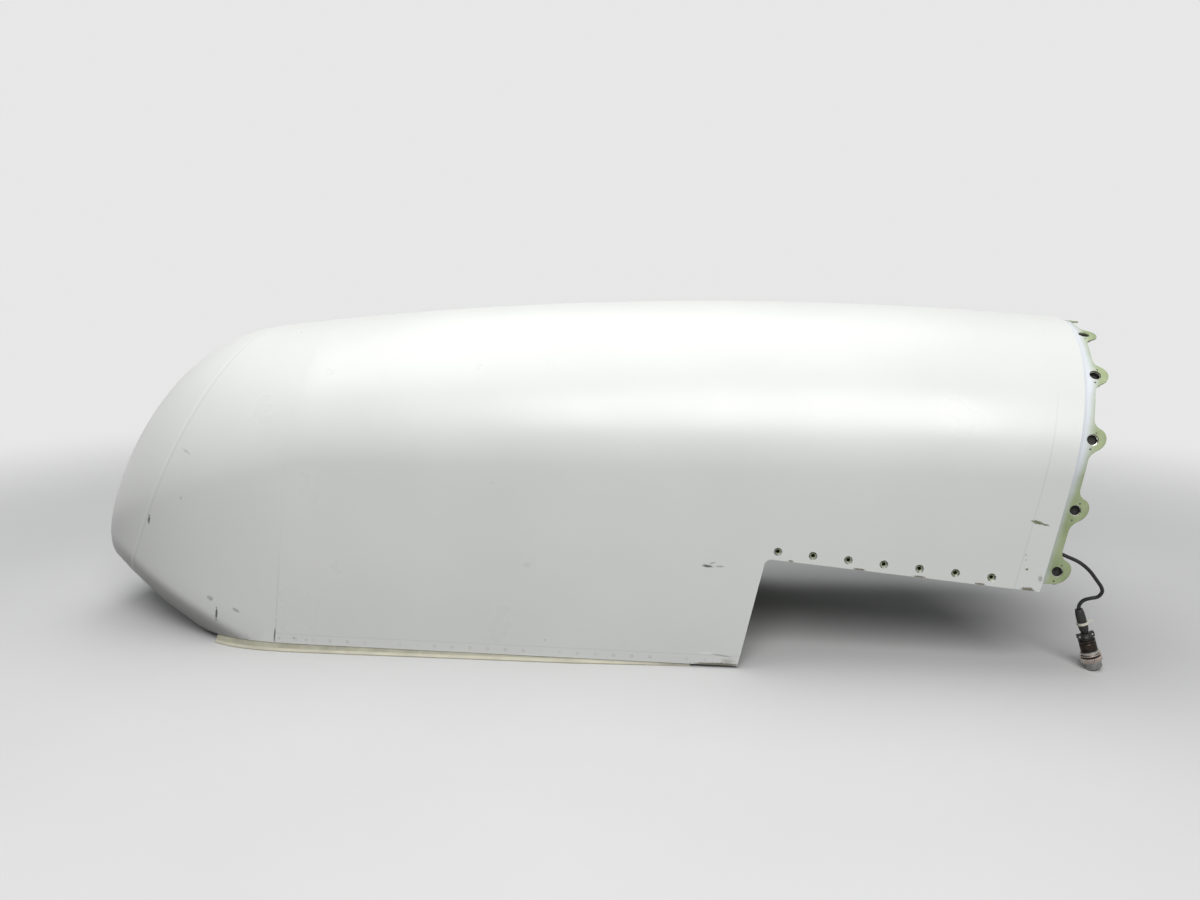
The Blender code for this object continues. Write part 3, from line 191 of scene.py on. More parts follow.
def grain(tree, shader, scale, strength, depth, detail=3.0):
    """Fine bumps."""
    step = tree.nodes.new("ShaderNodeBump")
    step.inputs["Strength"].default_value = strength
    step.inputs["Distance"].default_value = depth
    tree.links.new(noise(tree, scale, detail), step.inputs["Height"])
    tree.links.new(step.outputs["Normal"], shader.inputs["Normal"])


def clouded(tree, cloud, first, second):
    """Two tones in clouds: the noise's scale and detail, and the range of it that mixes them."""
    scale, detail, low, high = cloud
    return blend_colour(tree, ramp(tree, noise(tree, scale, detail), low, high), first, second)


def mottled(name, tones, cloud, sheen, bumps=None, metallic=0.0):
    """A material of two clouded tones. Cloud, sheen and bumps are the numbers that clouded(),
    roughen() and grain() take."""
    material, tree, shader = new_material(name, tones[1], sheen[-1], metallic)
    tree.links.new(clouded(tree, cloud, *tones), shader.inputs["Base Color"])
    roughen(tree, shader, *sheen)
    if bumps:
        grain(tree, shader, *bumps)
    return material


def dress(obj, material):
    obj.data.materials.clear()
    obj.data.materials.append(material)


sheath_line = poly_curve("lead", "3D", smooth_line(LEAD_POINTS, LEAD_STEPS))
sheath_line.bevel_depth = LEAD_DIAMETER / 2
sheath_line.bevel_resolution = 6
sheath_line.use_fill_caps = True
lead = add_object("lead", sheath_line)
sheath = mottled("black_sheath", ((0.006, 0.006, 0.007), (0.018, 0.018, 0.017)),
                 cloud=(160.0, 5.0, 0.45, 0.75), sheen=(90.0, 3.0, 0.36, 0.52),
                 bumps=(700.0, 0.15, 0.0002))
dress(lead, sheath)
dress(cad["lead_inside"], sheath)
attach(lead, "fairing")
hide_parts("lead_free")

# Skins. Formed aluminium sheet, sprayed gloss white outside over pale green primer, which is
# all that the inside has. The nose is two formed pieces, its joints are filled and painted
# over, and the notch's screw holes are dimpled and worn to grey metal.
HALF_WIDTH = 0.200
CROWN_HEIGHT = 0.4392
CROWN_PEAK_X = 0.2001
CROWN_RUN = 0.608
CROWN_DROP = 0.0364
SPRING_HEIGHT = 0.245
TIP_X = -0.6647
TIP_HEIGHT = 0.070
TIP_RISE = 0.045
TIP_ROUNDING = 0.050
BELLY_DEPTH = 0.0045
BELLY_LENGTH = 0.090
BROW_X = -0.4070
BROW_REACH = 0.1915
NOSE_START_X = -0.3069
PLAN_POWER = 2.1
RAMP_START_X = -0.4958
RAMP_SLOPE = 0.4712
RAMP_LIP = 0.0095
TURN_RADIUS = 0.058
JOINT_X = -0.3578
JOINT_LEAN = math.tan(math.radians(6.5))
SEAM_X = -0.5768
SEAM_HEIGHT = 0.100
SEAM_LEAN = math.tan(math.radians(28.0))
END_X = 0.5803
END_HEIGHT = 0.1094
END_SLOPE = 0.2080
END_BEND = 0.0888
LIP_AT_JOINT = 0.0105
LIP_AT_NOTCH = 0.0035
NOTCH_X = 0.2304
NOTCH_LEAN = math.radians(12.7)
NOTCH_CORNER_X = 0.2729
NOTCH_HEIGHT = 0.139
NOTCH_FALL = math.radians(5.5)
NOTCH_RADIUS = 0.009
SKIN = 0.0016
FILLED_GAP = 0.00006
SLIT_GAP = 0.0005
SLIT_TOP = 0.031
SQUARE = math.radians(90)
STATION_TRIES = 20
CURVE_TRIES = 26
WELD = 0.00001
SMOOTH_BELOW = math.radians(35)


def crown_z(x):
    """Height of the crown: a shallow arc, then one curve from the brow down to the tip."""
    def arc(at):
        return CROWN_HEIGHT - CROWN_DROP * ((at - CROWN_PEAK_X) / CROWN_RUN) ** 2
    if x >= BROW_X:
        return arc(x)

    def bezier(a, b, c, d):
        return (1 - t) ** 3 * a + 3 * (1 - t) ** 2 * t * b + 3 * (1 - t) * t * t * c + t ** 3 * d
    low, high = 0.0, 1.0
    for _ in range(CURVE_TRIES):
        t = (low + high) / 2
        if bezier(TIP_X, TIP_X, BROW_X - BROW_REACH, BROW_X) < x:
            low = t
        else:
            high = t
    slope = 2 * CROWN_DROP * (CROWN_PEAK_X - BROW_X) / CROWN_RUN ** 2
    brow = arc(BROW_X)
    return bezier(TIP_HEIGHT, TIP_HEIGHT + TIP_RISE, brow - slope * BROW_REACH, brow)


def nose_share(x):
    """0 at the tip, 1 where the walls run straight."""
    return min(max((x - TIP_X) / (NOSE_START_X - TIP_X), 0.0), 1.0)


def half_width(x):
    return HALF_WIDTH * (1 - (1 - nose_share(x)) ** PLAN_POWER) ** (1 / PLAN_POWER)


def spring_z(x):
    return TIP_HEIGHT + (SPRING_HEIGHT - TIP_HEIGHT) * math.sqrt(nose_share(x))


def keel_z(x):
    """Height of the underside: a ramp that rounds into the tip through a slight belly."""
    def ramp_z(at):
        return RAMP_LIP - RAMP_SLOPE * (at - RAMP_START_X)
    along = min(max((x - TIP_X) / BELLY_LENGTH, 0.0), 1.0)
    belly = BELLY_DEPTH * math.sin(math.pi * along) ** 2
    if x >= TIP_X + TIP_ROUNDING:
        return ramp_z(x) - belly
    rest = 1 - max(x - TIP_X, 0.0) / TIP_ROUNDING
    drop = TIP_HEIGHT - ramp_z(TIP_X + TIP_ROUNDING)
    return TIP_HEIGHT - drop * math.sqrt(max(1 - rest * rest, 0.0)) - belly


def turn_radius(x):
    return min(TURN_RADIUS, half_width(x), max(spring_z(x) - keel_z(x), 0.0))


def turn_top(x):
    return keel_z(x) + turn_radius(x)


def lip_z(x):
    """Height of the skin's lower edge, which rises gently towards the nose."""
    share = (x - JOINT_X) / (NOTCH_X - JOINT_X)
    return LIP_AT_JOINT + (LIP_AT_NOTCH - LIP_AT_JOINT) * share


def outline(x, sample, low):
    """Half section (y, z) at x, at an arc or turn angle, a wall or floor share, or a height."""
    kind, value = sample
    width = half_width(x)
    spring = spring_z(x)
    if kind == "arc":
        return width * math.sin(value), spring + (crown_z(x) - spring) * math.cos(value)
    if kind == "wall":
        return width, spring + (low(x) - spring) * value
    if kind == "height":
        return width, value
    radius = turn_radius(x)
    if kind == "turn":
        return width - radius * (1 - math.cos(value)), keel_z(x) + radius * (1 - math.sin(value))
    return (width - radius) * (1 - value), keel_z(x)


def joint_line(z):
    return JOINT_X + JOINT_LEAN * z


def joint_gap(z):
    """The joint is filled flush, apart from a slit that opens towards the lower edge."""
    return FILLED_GAP + (SLIT_GAP - FILLED_GAP) * min(max((SLIT_TOP - z) / SLIT_TOP * 2, 0.0), 1.0)


def seam_line(z):
    return SEAM_X + SEAM_LEAN * (z - SEAM_HEIGHT)


def end_line(z):
    return END_X + END_SLOPE * (z - END_HEIGHT) - END_BEND * (z - END_HEIGHT) ** 2


def skin_point(line, sample, low, along=0.0, depth=0.0):
    """Where a leaning line meets the section's sample on the far wall, or a depth inside it."""
    z = SPRING_HEIGHT
    for _ in range(STATION_TRIES):
        z = (z + outline(line(z) + along, sample, low)[1]) / 2
    x = line(z) + along
    here = Vector((x, *outline(x, sample, low)))
    if not depth:
        return here
    kind, value = sample
    nudge = 0.0001
    turn = -nudge if kind == "height" else nudge / HALF_WIDTH
    ahead = Vector((x + nudge, *outline(x + nudge, sample, low))) - here
    down = (Vector((x, *outline(x, (kind, value + turn), low)))
            - Vector((x, *outline(x, (kind, value - turn), low))))
    return here - ahead.cross(down).normalized() * depth


def pick(piece):
    """Select one piece alone and make it the active one."""
    bpy.ops.object.select_all(action="DESELECT")
    piece.select_set(True)
    bpy.context.view_layer.objects.active = piece


def apply_modifiers(piece):
    pick(piece)
    for modifier in list(piece.modifiers):
        bpy.ops.object.modifier_apply(modifier=modifier.name)


@contextmanager
def edit_mode(piece):
    """All of a piece selected in edit mode, and object mode again afterwards."""
    pick(piece)
    bpy.ops.object.mode_set(mode="EDIT")
    bpy.ops.mesh.select_all(action="SELECT")
    yield
    bpy.ops.object.mode_set(mode="OBJECT")


def weld(piece):
    with edit_mode(piece):
        bpy.ops.mesh.remove_doubles(threshold=WELD)
        bpy.ops.mesh.normals_make_consistent(inside=False)


def formed_grid(name, columns, rows, point_at):
    """A grid whose points go where point_at(column, row) says."""
    bpy.ops.object.select_all(action="DESELECT")
    bpy.ops.mesh.primitive_grid_add(x_subdivisions=columns, y_subdivisions=rows, size=2.0)
    piece = bpy.context.active_object
    piece.name = name
    for vertex in piece.data.vertices:
        column, row = (vertex.co.x + 1) / 2 * columns, (vertex.co.y + 1) / 2 * rows
        vertex.co = point_at(round(column), round(row))
    return piece


def formed_sheet(name, columns, rows, point_at, thickness):
    """A grid formed over the far half of a surface, mirrored and given its thickness inwards."""
    piece = formed_grid(name, columns, rows, point_at)
    mirror = piece.modifiers.new("near and far halves", "MIRROR")
    mirror.use_axis = (False, True, False)
    mirror.merge_threshold = WELD
    apply_modifiers(piece)
    weld(piece)
    top = max(piece.data.polygons, key=lambda face: face.center.z)
    if top.normal.z < 0:
        with edit_mode(piece):
            bpy.ops.mesh.flip_normals()
    wall = piece.modifiers.new("thickness", "SOLIDIFY")
    wall.thickness = thickness
    wall.offset = -1
    wall.use_even_offset = True
    apply_modifiers(piece)
    return piece


def cut(piece, cutter, operation="DIFFERENCE"):
    """Cut a piece with a cutter, or with another operation join them. The cutter is then gone."""
    knife = piece.modifiers.new("cut", "BOOLEAN")
    knife.operation = operation
    knife.solver = "EXACT"
    knife.object = cutter
    apply_modifiers(piece)
    bpy.data.objects.remove(cutter, do_unlink=True)


def joined(pieces):
    bpy.ops.object.select_all(action="DESELECT")
    for piece in pieces:
        piece.select_set(True)
    bpy.context.view_layer.objects.active = pieces[0]
    bpy.ops.object.join()
    return bpy.context.active_object


def repeated(piece, places):
    """Copies of a piece at several places, joined. The piece itself is then gone."""
    copies = []
    for place in places:
        copy = add_object(piece.name, piece.data.copy())
        copy.data.transform(place)
        copies.append(copy)
    bpy.data.objects.remove(piece, do_unlink=True)
    return joined(copies)


def filled_block(name, corners, half_depth, place):
    """Corners in XY as a block that reaches a half depth above and below, moved to a place."""
    curve = poly_curve(name, "2D", [(x, y, 0.0) for x, y in corners], closed=True)
    curve.fill_mode = "BOTH"
    curve.extrude = half_depth
    block = add_object(name, curve)
    pick(block)
    bpy.ops.object.convert(target="MESH")
    block.data.transform(place)
    weld(block)
    return block


def side_cutter(name, corners):
    """Corners in the side view as a block that passes through both walls."""
    return filled_block(name, corners, 1.2 * HALF_WIDTH, Matrix.Rotation(SQUARE, 4, "X"))


def finish_piece(piece, material, node, body="fairing"):
    """Shade a piece smooth round its curves, and let it stand for a node of its own body."""
    pick(piece)
    bpy.ops.object.shade_smooth_by_angle(angle=SMOOTH_BELOW)
    dress(piece, material)
    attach(piece, body)
    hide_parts(node)


CROWN_ROWS = 48
WALL_ROWS = 8
TURN_ROWS = 12
FLOOR_ROWS = 8
crown_rows = [("arc", SQUARE * i / CROWN_ROWS) for i in range(CROWN_ROWS + 1)]
wall_rows = [("wall", (i + 1) / WALL_ROWS) for i in range(WALL_ROWS)]
turn_rows = [("turn", SQUARE * (i + 1) / TURN_ROWS) for i in range(TURN_ROWS)]
floor_rows = [("floor", (i + 1) / FLOOR_ROWS) for i in range(FLOOR_ROWS)]
ring_rows = crown_rows + wall_rows + turn_rows + floor_rows


def formed_skin(name, columns, rows, first, last, low, spread=1.0):
    """A skin between two leaning lines. A spread over 1 gathers its columns at the first line."""
    def point_at(column, row):
        share = (column / columns) ** spread
        return skin_point(lambda z: first(z) + (last(z) - first(z)) * share, rows[row], low)
    return formed_sheet(name, columns, len(rows) - 1, point_at, SKIN)


def above_notch(x, margin):
    """Height at x, a margin above the notch's edge."""
    return NOTCH_HEIGHT - math.tan(NOTCH_FALL) * (x - NOTCH_CORNER_X) + margin


def rounded_notch():
    """The notch's corners in the side view, run out past the floor and the flanged end."""
    lean, fall = math.tan(NOTCH_LEAN), math.tan(NOTCH_FALL)
    corner_z = (NOTCH_HEIGHT + fall * (NOTCH_CORNER_X - NOTCH_X)) / (1 + fall * lean)
    corner = Vector((NOTCH_X + lean * corner_z, corner_z))
    down = Vector((-math.sin(NOTCH_LEAN), -math.cos(NOTCH_LEAN)))
    away = Vector((math.cos(NOTCH_FALL), -math.sin(NOTCH_FALL)))
    reach = NOTCH_RADIUS / math.sin(down.angle(away) / 2)
    centre = corner + (down + away).normalized() * reach
    start, end = math.pi - NOTCH_LEAN, SQUARE - NOTCH_FALL
    steps = 12
    angles = [start + (end - start) * i / steps for i in range(steps + 1)]
    bend = [centre + NOTCH_RADIUS * Vector((math.cos(angle), math.sin(angle))) for angle in angles]
    far = NOTCH_X + HALF_WIDTH * 3
    floor_z = -0.01
    return [(NOTCH_X + lean * floor_z, floor_z), *[tuple(point) for point in bend],
            (far, above_notch(far, 0.0)), (far, floor_z)]


SCREW_HOLES = 7
SCREW_PITCH = 0.0414
SCREW_FIRST_X = 0.2761
SCREW_MARGIN = 0.0105
DIMPLE_RADIUS = 0.0050
DIMPLE_SLOPE = math.tan(math.radians(50.0))
OVERRUN = 0.0005
screw_rows = [SCREW_FIRST_X + SCREW_PITCH * i for i in range(SCREW_HOLES)]
screw_places = [(x, above_notch(x, SCREW_MARGIN)) for x in screw_rows]


def hole_places(y, turn):
    """At each screw hole of both walls, y from the middle, with z turned in or out."""
    return [Matrix.Translation((x, side * y, z)) @ Matrix.Rotation(side * turn, 4, "X")
            for side in (-1, 1) for x, z in screw_places]


bpy.ops.object.select_all(action="DESELECT")
bpy.ops.mesh.primitive_cone_add(vertices=32, depth=SKIN + 2 * OVERRUN,
                                radius1=DIMPLE_RADIUS - DIMPLE_SLOPE * (SKIN + OVERRUN),
                                radius2=DIMPLE_RADIUS + DIMPLE_SLOPE * OVERRUN)
dimples = repeated(bpy.context.active_object, hole_places(HALF_WIDTH - SKIN / 2, -SQUARE))
main_skin = formed_skin("main_skin_sheet", 48, crown_rows + wall_rows,
                        lambda z: joint_line(z) + joint_gap(z), end_line, lip_z, spread=1.5)
cut(main_skin, side_cutter("notch_block", rounded_notch()))
cut(main_skin, dimples)
nose_skin = formed_skin("nose_skin_sheet", 36, ring_rows,
                        lambda z: seam_line(z) + FILLED_GAP, joint_line, turn_top)
deep_z = -2 * TURN_RADIUS
back_x = joint_line(0) + TURN_RADIUS
cut(nose_skin, side_cutter("lip_block", [(TIP_X, deep_z), (TIP_X, lip_z(TIP_X)),
                                         (back_x, lip_z(back_x)), (back_x, deep_z)]))
nose_cap = formed_skin("nose_cap_sheet", 36, ring_rows, lambda z: TIP_X, seam_line, turn_top,
                       spread=2.0)

PAINT = (0.70, 0.71, 0.705)
PRIMER = (0.40, 0.47, 0.25)
# Tone of the rivet rings, and of the painted shade on faces that look down.
GRIME_AND_SHADE = (0.30, 0.30, 0.28)
BARE_METAL = (0.20, 0.19, 0.15)
MIDDLE_LINE_START_X = -0.35
MIDDLE_LINE_HEIGHT = 0.20
INNER_SIDE = -0.012
OUTER_SIDE = -0.006
# Painted shade on faces that look down: the normal's z where it is full, where it stops, and its
# strength.
PAINTED_SHADE_FULL = -0.30
PAINTED_SHADE_NONE = 0.02
PAINTED_SHADE_SHARE = 0.70
MARK_DEPTH = 0.15
RAGGEDNESS = 1.6
RIVET_PITCH = 0.0226
RIVET_RISE = 0.0062
RIVET_MARK = 0.0021
LINE_FADE = 0.06


def split(tree, vector):
    """A vector's x, y and z."""
    parts = tree.nodes.new("ShaderNodeSeparateXYZ")
    tree.links.new(vector, parts.inputs["Vector"])
    return [parts.outputs[axis] for axis in "XYZ"]


def combined(tree, *parts):
    """A vector with up to three parts."""
    vector = tree.nodes.new("ShaderNodeCombineXYZ")
    for part, socket in zip(parts, vector.inputs):
        tree.links.new(part, socket)
    return vector.outputs["Vector"]


def vector_maths(tree, operation, *vectors):
    step = tree.nodes.new("ShaderNodeVectorMath")
    step.operation = operation
    for vector, socket in zip(vectors, step.inputs):
        tree.links.new(vector, socket)
    return step.outputs["Value"]


def height_of(tree):
    """Height above the floor."""
    return split(tree, place_of(tree))[2]


def normal_of(tree):
    return tree.nodes.new("ShaderNodeNewGeometry").outputs["Normal"]


def facing_out(tree):
    """1 on faces that look away from the fairing's middle line, 0 on those that look in."""
    x, y, z = split(tree, place_of(tree))
    ahead = maths(tree, "MINIMUM", minus(tree, x, MIDDLE_LINE_START_X), 0.0)
    away = combined(tree, ahead, y, minus(tree, z, MIDDLE_LINE_HEIGHT))
    facing = vector_maths(tree, "DOT_PRODUCT", away, normal_of(tree))
    return ramp(tree, facing, INNER_SIDE, OUTER_SIDE)


def mark(tree, at, size, turn=0.0, soft=0.5, rough=0.0):
    """1 inside a small ellipse on the near wall, at its (x, z) and of its half sizes, turned by
    degrees. Soft is the share of it that fades out, and rough the scale of a ragged edge."""
    mapping = tree.nodes.new("ShaderNodeMapping")
    mapping.vector_type = "TEXTURE"
    mapping.inputs["Location"].default_value = (at[0], -HALF_WIDTH, at[1])
    mapping.inputs["Rotation"].default_value = (0.0, math.radians(turn), 0.0)
    mapping.inputs["Scale"].default_value = (size[0], MARK_DEPTH, size[1])
    tree.links.new(place_of(tree), mapping.inputs["Vector"])
    distance = vector_maths(tree, "LENGTH", mapping.outputs["Vector"])
    if rough:
        ragged = minus(tree, noise(tree, rough, 4.0), 0.5)
        distance = plus(tree, distance, times(tree, ragged, RAGGEDNESS))
    return ramp(tree, distance, 1.0 - soft, 1.0, 1.0, 0.0)


def end_reach(tree):
    """Distance past the skin's rear edge, along the length."""
    x, _, z = split(tree, place_of(tree))
    rise = minus(tree, z, END_HEIGHT)
    slanted = times(tree, rise, END_SLOPE)
    bent = times(tree, times(tree, rise, rise), END_BEND)
    return minus(tree, minus(tree, x, slanted), minus(tree, END_X, bent))


def leaning_reach(tree, at_x, at_z, lean):
    """Distance past a line that leans in the side view, along the length."""
    x, _, z = split(tree, place_of(tree))
    slanted = times(tree, minus(tree, z, at_z), lean)
    return minus(tree, minus(tree, x, slanted), at_x)


def seam_reach(tree):
    return leaning_reach(tree, SEAM_X, SEAM_HEIGHT, SEAM_LEAN)


def joint_reach(tree):
    return leaning_reach(tree, JOINT_X, 0.0, JOINT_LEAN)


def above_lip(tree):
    """Height above the skin's lower edge."""
    x, _, z = split(tree, place_of(tree))
    fall = (LIP_AT_NOTCH - LIP_AT_JOINT) / (NOTCH_X - JOINT_X)
    lip = times(tree, minus(tree, x, JOINT_X), fall)
    return minus(tree, minus(tree, z, lip), LIP_AT_JOINT)


def rivet_marks(tree):
    """Faint rings of the flush rivets along the lower edge."""
    along = maths(tree, "DIVIDE", split(tree, place_of(tree))[0], RIVET_PITCH)
    pitches = maths(tree, "FRACT", along)
    across = times(tree, minus(tree, pitches, 0.5), RIVET_PITCH)
    up = minus(tree, above_lip(tree), RIVET_RISE)
    apart = vector_maths(tree, "LENGTH", combined(tree, across, up))
    off = maths(tree, "ABSOLUTE", minus(tree, apart, RIVET_MARK * 0.7))
    ring = ramp(tree, off, RIVET_MARK * 0.1, RIVET_MARK * 0.35, 0.45, 0.0)
    return times(tree, ring, ramp(tree, noise(tree, 30.0), 0.35, 0.6))


def painted_sheet(name, scuffs, chips, lines):
    """White paint outside, primer inside. Scuffs darken the paint and chips bare the metal.
    Lines run along a reach: a masking tape edge, a joint, or the seam's painted highlight and
    painted shadow. Each has the reach that it follows, how far past it, its half width, strength
    and tone, and the height that it fades out at. Faces that look down get painted shade."""
    material, tree, shader = new_material(name, PAINT, 0.3)
    colour = clouded(tree, (5.0, 4.0, 0.1, 0.9), (0.68, 0.69, 0.665), (0.73, 0.74, 0.715))
    # Faces that look down are painted darker, most on the nose's turned-under belly: painted
    # shade.
    below = ramp(tree, split(tree, normal_of(tree))[2], PAINTED_SHADE_FULL, PAINTED_SHADE_NONE, PAINTED_SHADE_SHARE, 0.0)
    colour = blend_colour(tree, below, colour, GRIME_AND_SHADE)
    specks = ramp(tree, noise(tree, 420.0, 2.0), 0.70, 0.76, 0.0, 0.35)
    colour = blend_colour(tree, specks, colour, (0.50, 0.50, 0.47))
    colour = blend_colour(tree, rivet_marks(tree), colour, GRIME_AND_SHADE)
    for reach, offset, half, share, tone, top in lines:
        off = maths(tree, "ABSOLUTE", minus(tree, reach(tree), offset))
        low = ramp(tree, height_of(tree), top - LINE_FADE, top, 1.0, 0.0)
        line = times(tree, low, ramp(tree, off, half * 0.4, half, share, 0.0))
        colour = blend_colour(tree, line, colour, tone)
    for scuff, tone in scuffs:
        colour = blend_colour(tree, mark(tree, *scuff), colour, tone)
    for chip in chips:
        colour = blend_colour(tree, mark(tree, *chip), colour, BARE_METAL)
    inside = clouded(tree, (14.0, 4.0, 0.3, 0.7), (0.36, 0.43, 0.23), (0.43, 0.50, 0.28))
    tree.links.new(blend_colour(tree, facing_out(tree), inside, colour),
                   shader.inputs["Base Color"])
    tree.links.new(ramp(tree, noise(tree, 9.0, 5.0), 0.1, 0.9, 0.24, 0.42),
                   shader.inputs["Roughness"])
    grain(tree, shader, 260.0, 0.04, 0.0004, detail=2.0)
    return material


DARK = (0.10, 0.10, 0.09)
GREY = (0.42, 0.42, 0.40)
PALE_GREY = (0.52, 0.52, 0.50)
GREEN = (0.16, 0.18, 0.10)
JOINT_LINE = (joint_reach, 0.0, 0.0016, 0.22, (0.52, 0.53, 0.52), 0.14)
SEAM_SCRATCH = (((-0.5375, 0.1578), (0.0026, 0.0090), 14.0, 0.6, 700.0), DARK)
main_paint = painted_sheet(
    "main_skin_paint",
    scuffs=(
        (((0.1925, 0.1290), (0.0080, 0.0022), 6.0, 0.6, 700.0), DARK),
        (((0.1985, 0.1330), (0.0052, 0.0016), -12.0, 0.7, 800.0), GREY),
        (((0.2075, 0.1290), (0.0075, 0.0016), 0.0, 0.7, 800.0), GREY),
        (((0.5715, 0.1930), (0.0090, 0.0024), 14.0, 0.5, 600.0), GREEN),
        (((0.5800, 0.1905), (0.0070, 0.0014), 14.0, 0.6, 600.0), GREEN),
        (((0.1935, 0.0190), (0.0100, 0.0009), -2.0, 0.5), (0.86, 0.86, 0.85)),
        (((0.2120, 0.0163), (0.0160, 0.0012), 8.0, 0.6), GREY),
        (((0.2200, 0.0090), (0.0120, 0.0050), 0.0, 0.9, 500.0), (0.50, 0.49, 0.45)),
        (((0.5615, 0.1537), (0.0011, 0.0016), 0.0, 0.6), GREY),
        (((0.5619, 0.1477), (0.0010, 0.0012), 0.0, 0.6), GREY),
        (((0.5637, 0.1365), (0.0024, 0.0017), 0.0, 0.6, 800.0), GREEN),
        (((0.5795, 0.1255), (0.0035, 0.0050), 0.0, 0.7, 800.0), GREY),
        (((-0.3306, 0.0179), (0.0022, 0.0018), 0.0, 0.6), GREY),
        (((-0.3143, 0.0159), (0.0016, 0.0014), 0.0, 0.6), GREY),
        (((-0.0278, 0.1236), (0.0060, 0.0050), 0.0, 0.9), (0.62, 0.63, 0.62)),
        (((-0.0063, 0.0278), (0.0012, 0.0012), 0.0, 0.6), GREY),
    ),
    chips=(
        ((0.2917, 0.1382), (0.0040, 0.0012), 5.5, 0.4, 900.0),
        ((0.3721, 0.1304), (0.0085, 0.0016), 5.5, 0.4, 700.0),
        ((0.4420, 0.1237), (0.0085, 0.0014), 5.5, 0.4, 700.0),
        ((0.5116, 0.1170), (0.0070, 0.0014), 5.5, 0.4, 700.0),
        ((0.5660, 0.1122), (0.0090, 0.0030), 5.5, 0.4, 600.0),
        ((0.2060, 0.0048), (0.0340, 0.0024), 0.0, 0.4, 500.0),
    ),
    lines=((end_reach, -0.030, 0.0014, 0.25, (0.50, 0.51, 0.50), 0.36),
           (above_lip, 0.0125, 0.0012, 0.22, (0.50, 0.51, 0.50), CROWN_HEIGHT),
           JOINT_LINE))
nose_paint = painted_sheet(
    "nose_skin_paint",
    scuffs=(
        (((-0.4715, 0.2521), (0.0090, 0.0022), 25.0, 0.7, 500.0), PALE_GREY),
        (((-0.4803, 0.1925), (0.0028, 0.0026), 0.0, 0.7), PALE_GREY),
        SEAM_SCRATCH,
        (((-0.4455, 0.0623), (0.0058, 0.0040), 20.0, 0.6, 600.0), GREY),
        (((-0.4377, 0.0423), (0.0020, 0.0110), 8.0, 0.6, 700.0), DARK),
        (((-0.4087, 0.0499), (0.0075, 0.0026), 25.0, 0.6, 700.0), GREY),
        (((-0.3564, 0.0207), (0.0010, 0.0130), 8.0, 0.6), DARK),
    ),
    chips=(),
    # The seam's pale line is a painted highlight on its filler, and the grey one just behind it a
    # painted shadow.
    lines=((seam_reach, 0.0006, 0.0022, 0.45, (0.80, 0.81, 0.80), 0.42),
           (seam_reach, 0.0038, 0.0030, 0.30, (0.55, 0.56, 0.55), 0.42),
           JOINT_LINE))
cap_paint = painted_sheet(
    "nose_cap_paint",
    scuffs=(SEAM_SCRATCH,),
    chips=(),
    # The pale line along the seam is a painted highlight.
    lines=((seam_reach, -0.0010, 0.0020, 0.4, (0.80, 0.81, 0.80), 0.42),))
finish_piece(main_skin, main_paint, "main_skin")
finish_piece(nose_skin, nose_paint, "nose_skin")
finish_piece(nose_cap, cap_paint, "nose_cap")

WALL_FACING = 0.9
worn = mottled("worn_dimples", ((0.10, 0.10, 0.09), (0.36, 0.36, 0.34)),
               cloud=(500.0, 4.0, 0.35, 0.65), sheen=(300.0, 3.0, 0.35, 0.55),
               bumps=(900.0, 0.1, 0.0002), metallic=0.6)
main_skin.data.materials.append(worn)
for face in main_skin.data.polygons:
    near = min(math.hypot(face.center.x - x, face.center.z - z) for x, z in screw_places)
    if near < DIMPLE_RADIUS and abs(face.normal.y) < WALL_FACING:
        face.material_index = 1

# Flange. Aluminium sheet in pale green primer, lapped under the skin's rear edge. It is
# joggled inwards past the edge, and its outer side is scalloped into eleven drilled ears.
# White overspray fades out beyond the skin and never reached the ears.
FLANGE_SHEET = 0.0016
FLANGE_LAP = 0.038
UNDER_SKIN = 0.0007
JOGGLE_START = 0.002
JOGGLE_END = 0.005
JOGGLE_DEPTH = 0.0012
VALLEY_REACH = 0.013
EAR_REACH = 0.014
EAR_RADIUS = 0.015
EAR_FILLET = 0.014
EAR_HOLE_RADIUS = 0.0065
EAR_SHARES = (0.0, 0.1835, 0.3762, 0.5746, 0.7708, 0.9440)
GIRTH_STEPS = 200
WALL_SLOPE = math.cos(math.radians(11.75))
girth_angles = [SQUARE * i / GIRTH_STEPS for i in range(GIRTH_STEPS + 1)]
girth_points = [skin_point(end_line, ("arc", angle), lip_z) for angle in girth_angles]
girth_lengths = [0.0]
for before, after in zip(girth_points, girth_points[1:]):
    girth_lengths.append(girth_lengths[-1] + (after - before).length)
side_girth = girth_lengths[-1] + (SPRING_HEIGHT - END_HEIGHT) / WALL_SLOPE
ear_places = [side_girth * share for share in EAR_SHARES]


def girth_sample(distance):
    """The sample at a distance round the flanged end from the crown."""
    if distance >= girth_lengths[-1]:
        return "height", SPRING_HEIGHT - (distance - girth_lengths[-1]) * WALL_SLOPE
    number = bisect_right(girth_lengths, distance)
    before = girth_lengths[number - 1]
    share = (distance - before) / (girth_lengths[number] - before)
    return "arc", SQUARE * (number - 1 + share) / GIRTH_STEPS


def end_point(distance, along=0.0, depth=0.0):
    """The skin's rear edge at that distance, moved along the length or inwards."""
    return skin_point(end_line, girth_sample(distance), lip_z, along, depth)


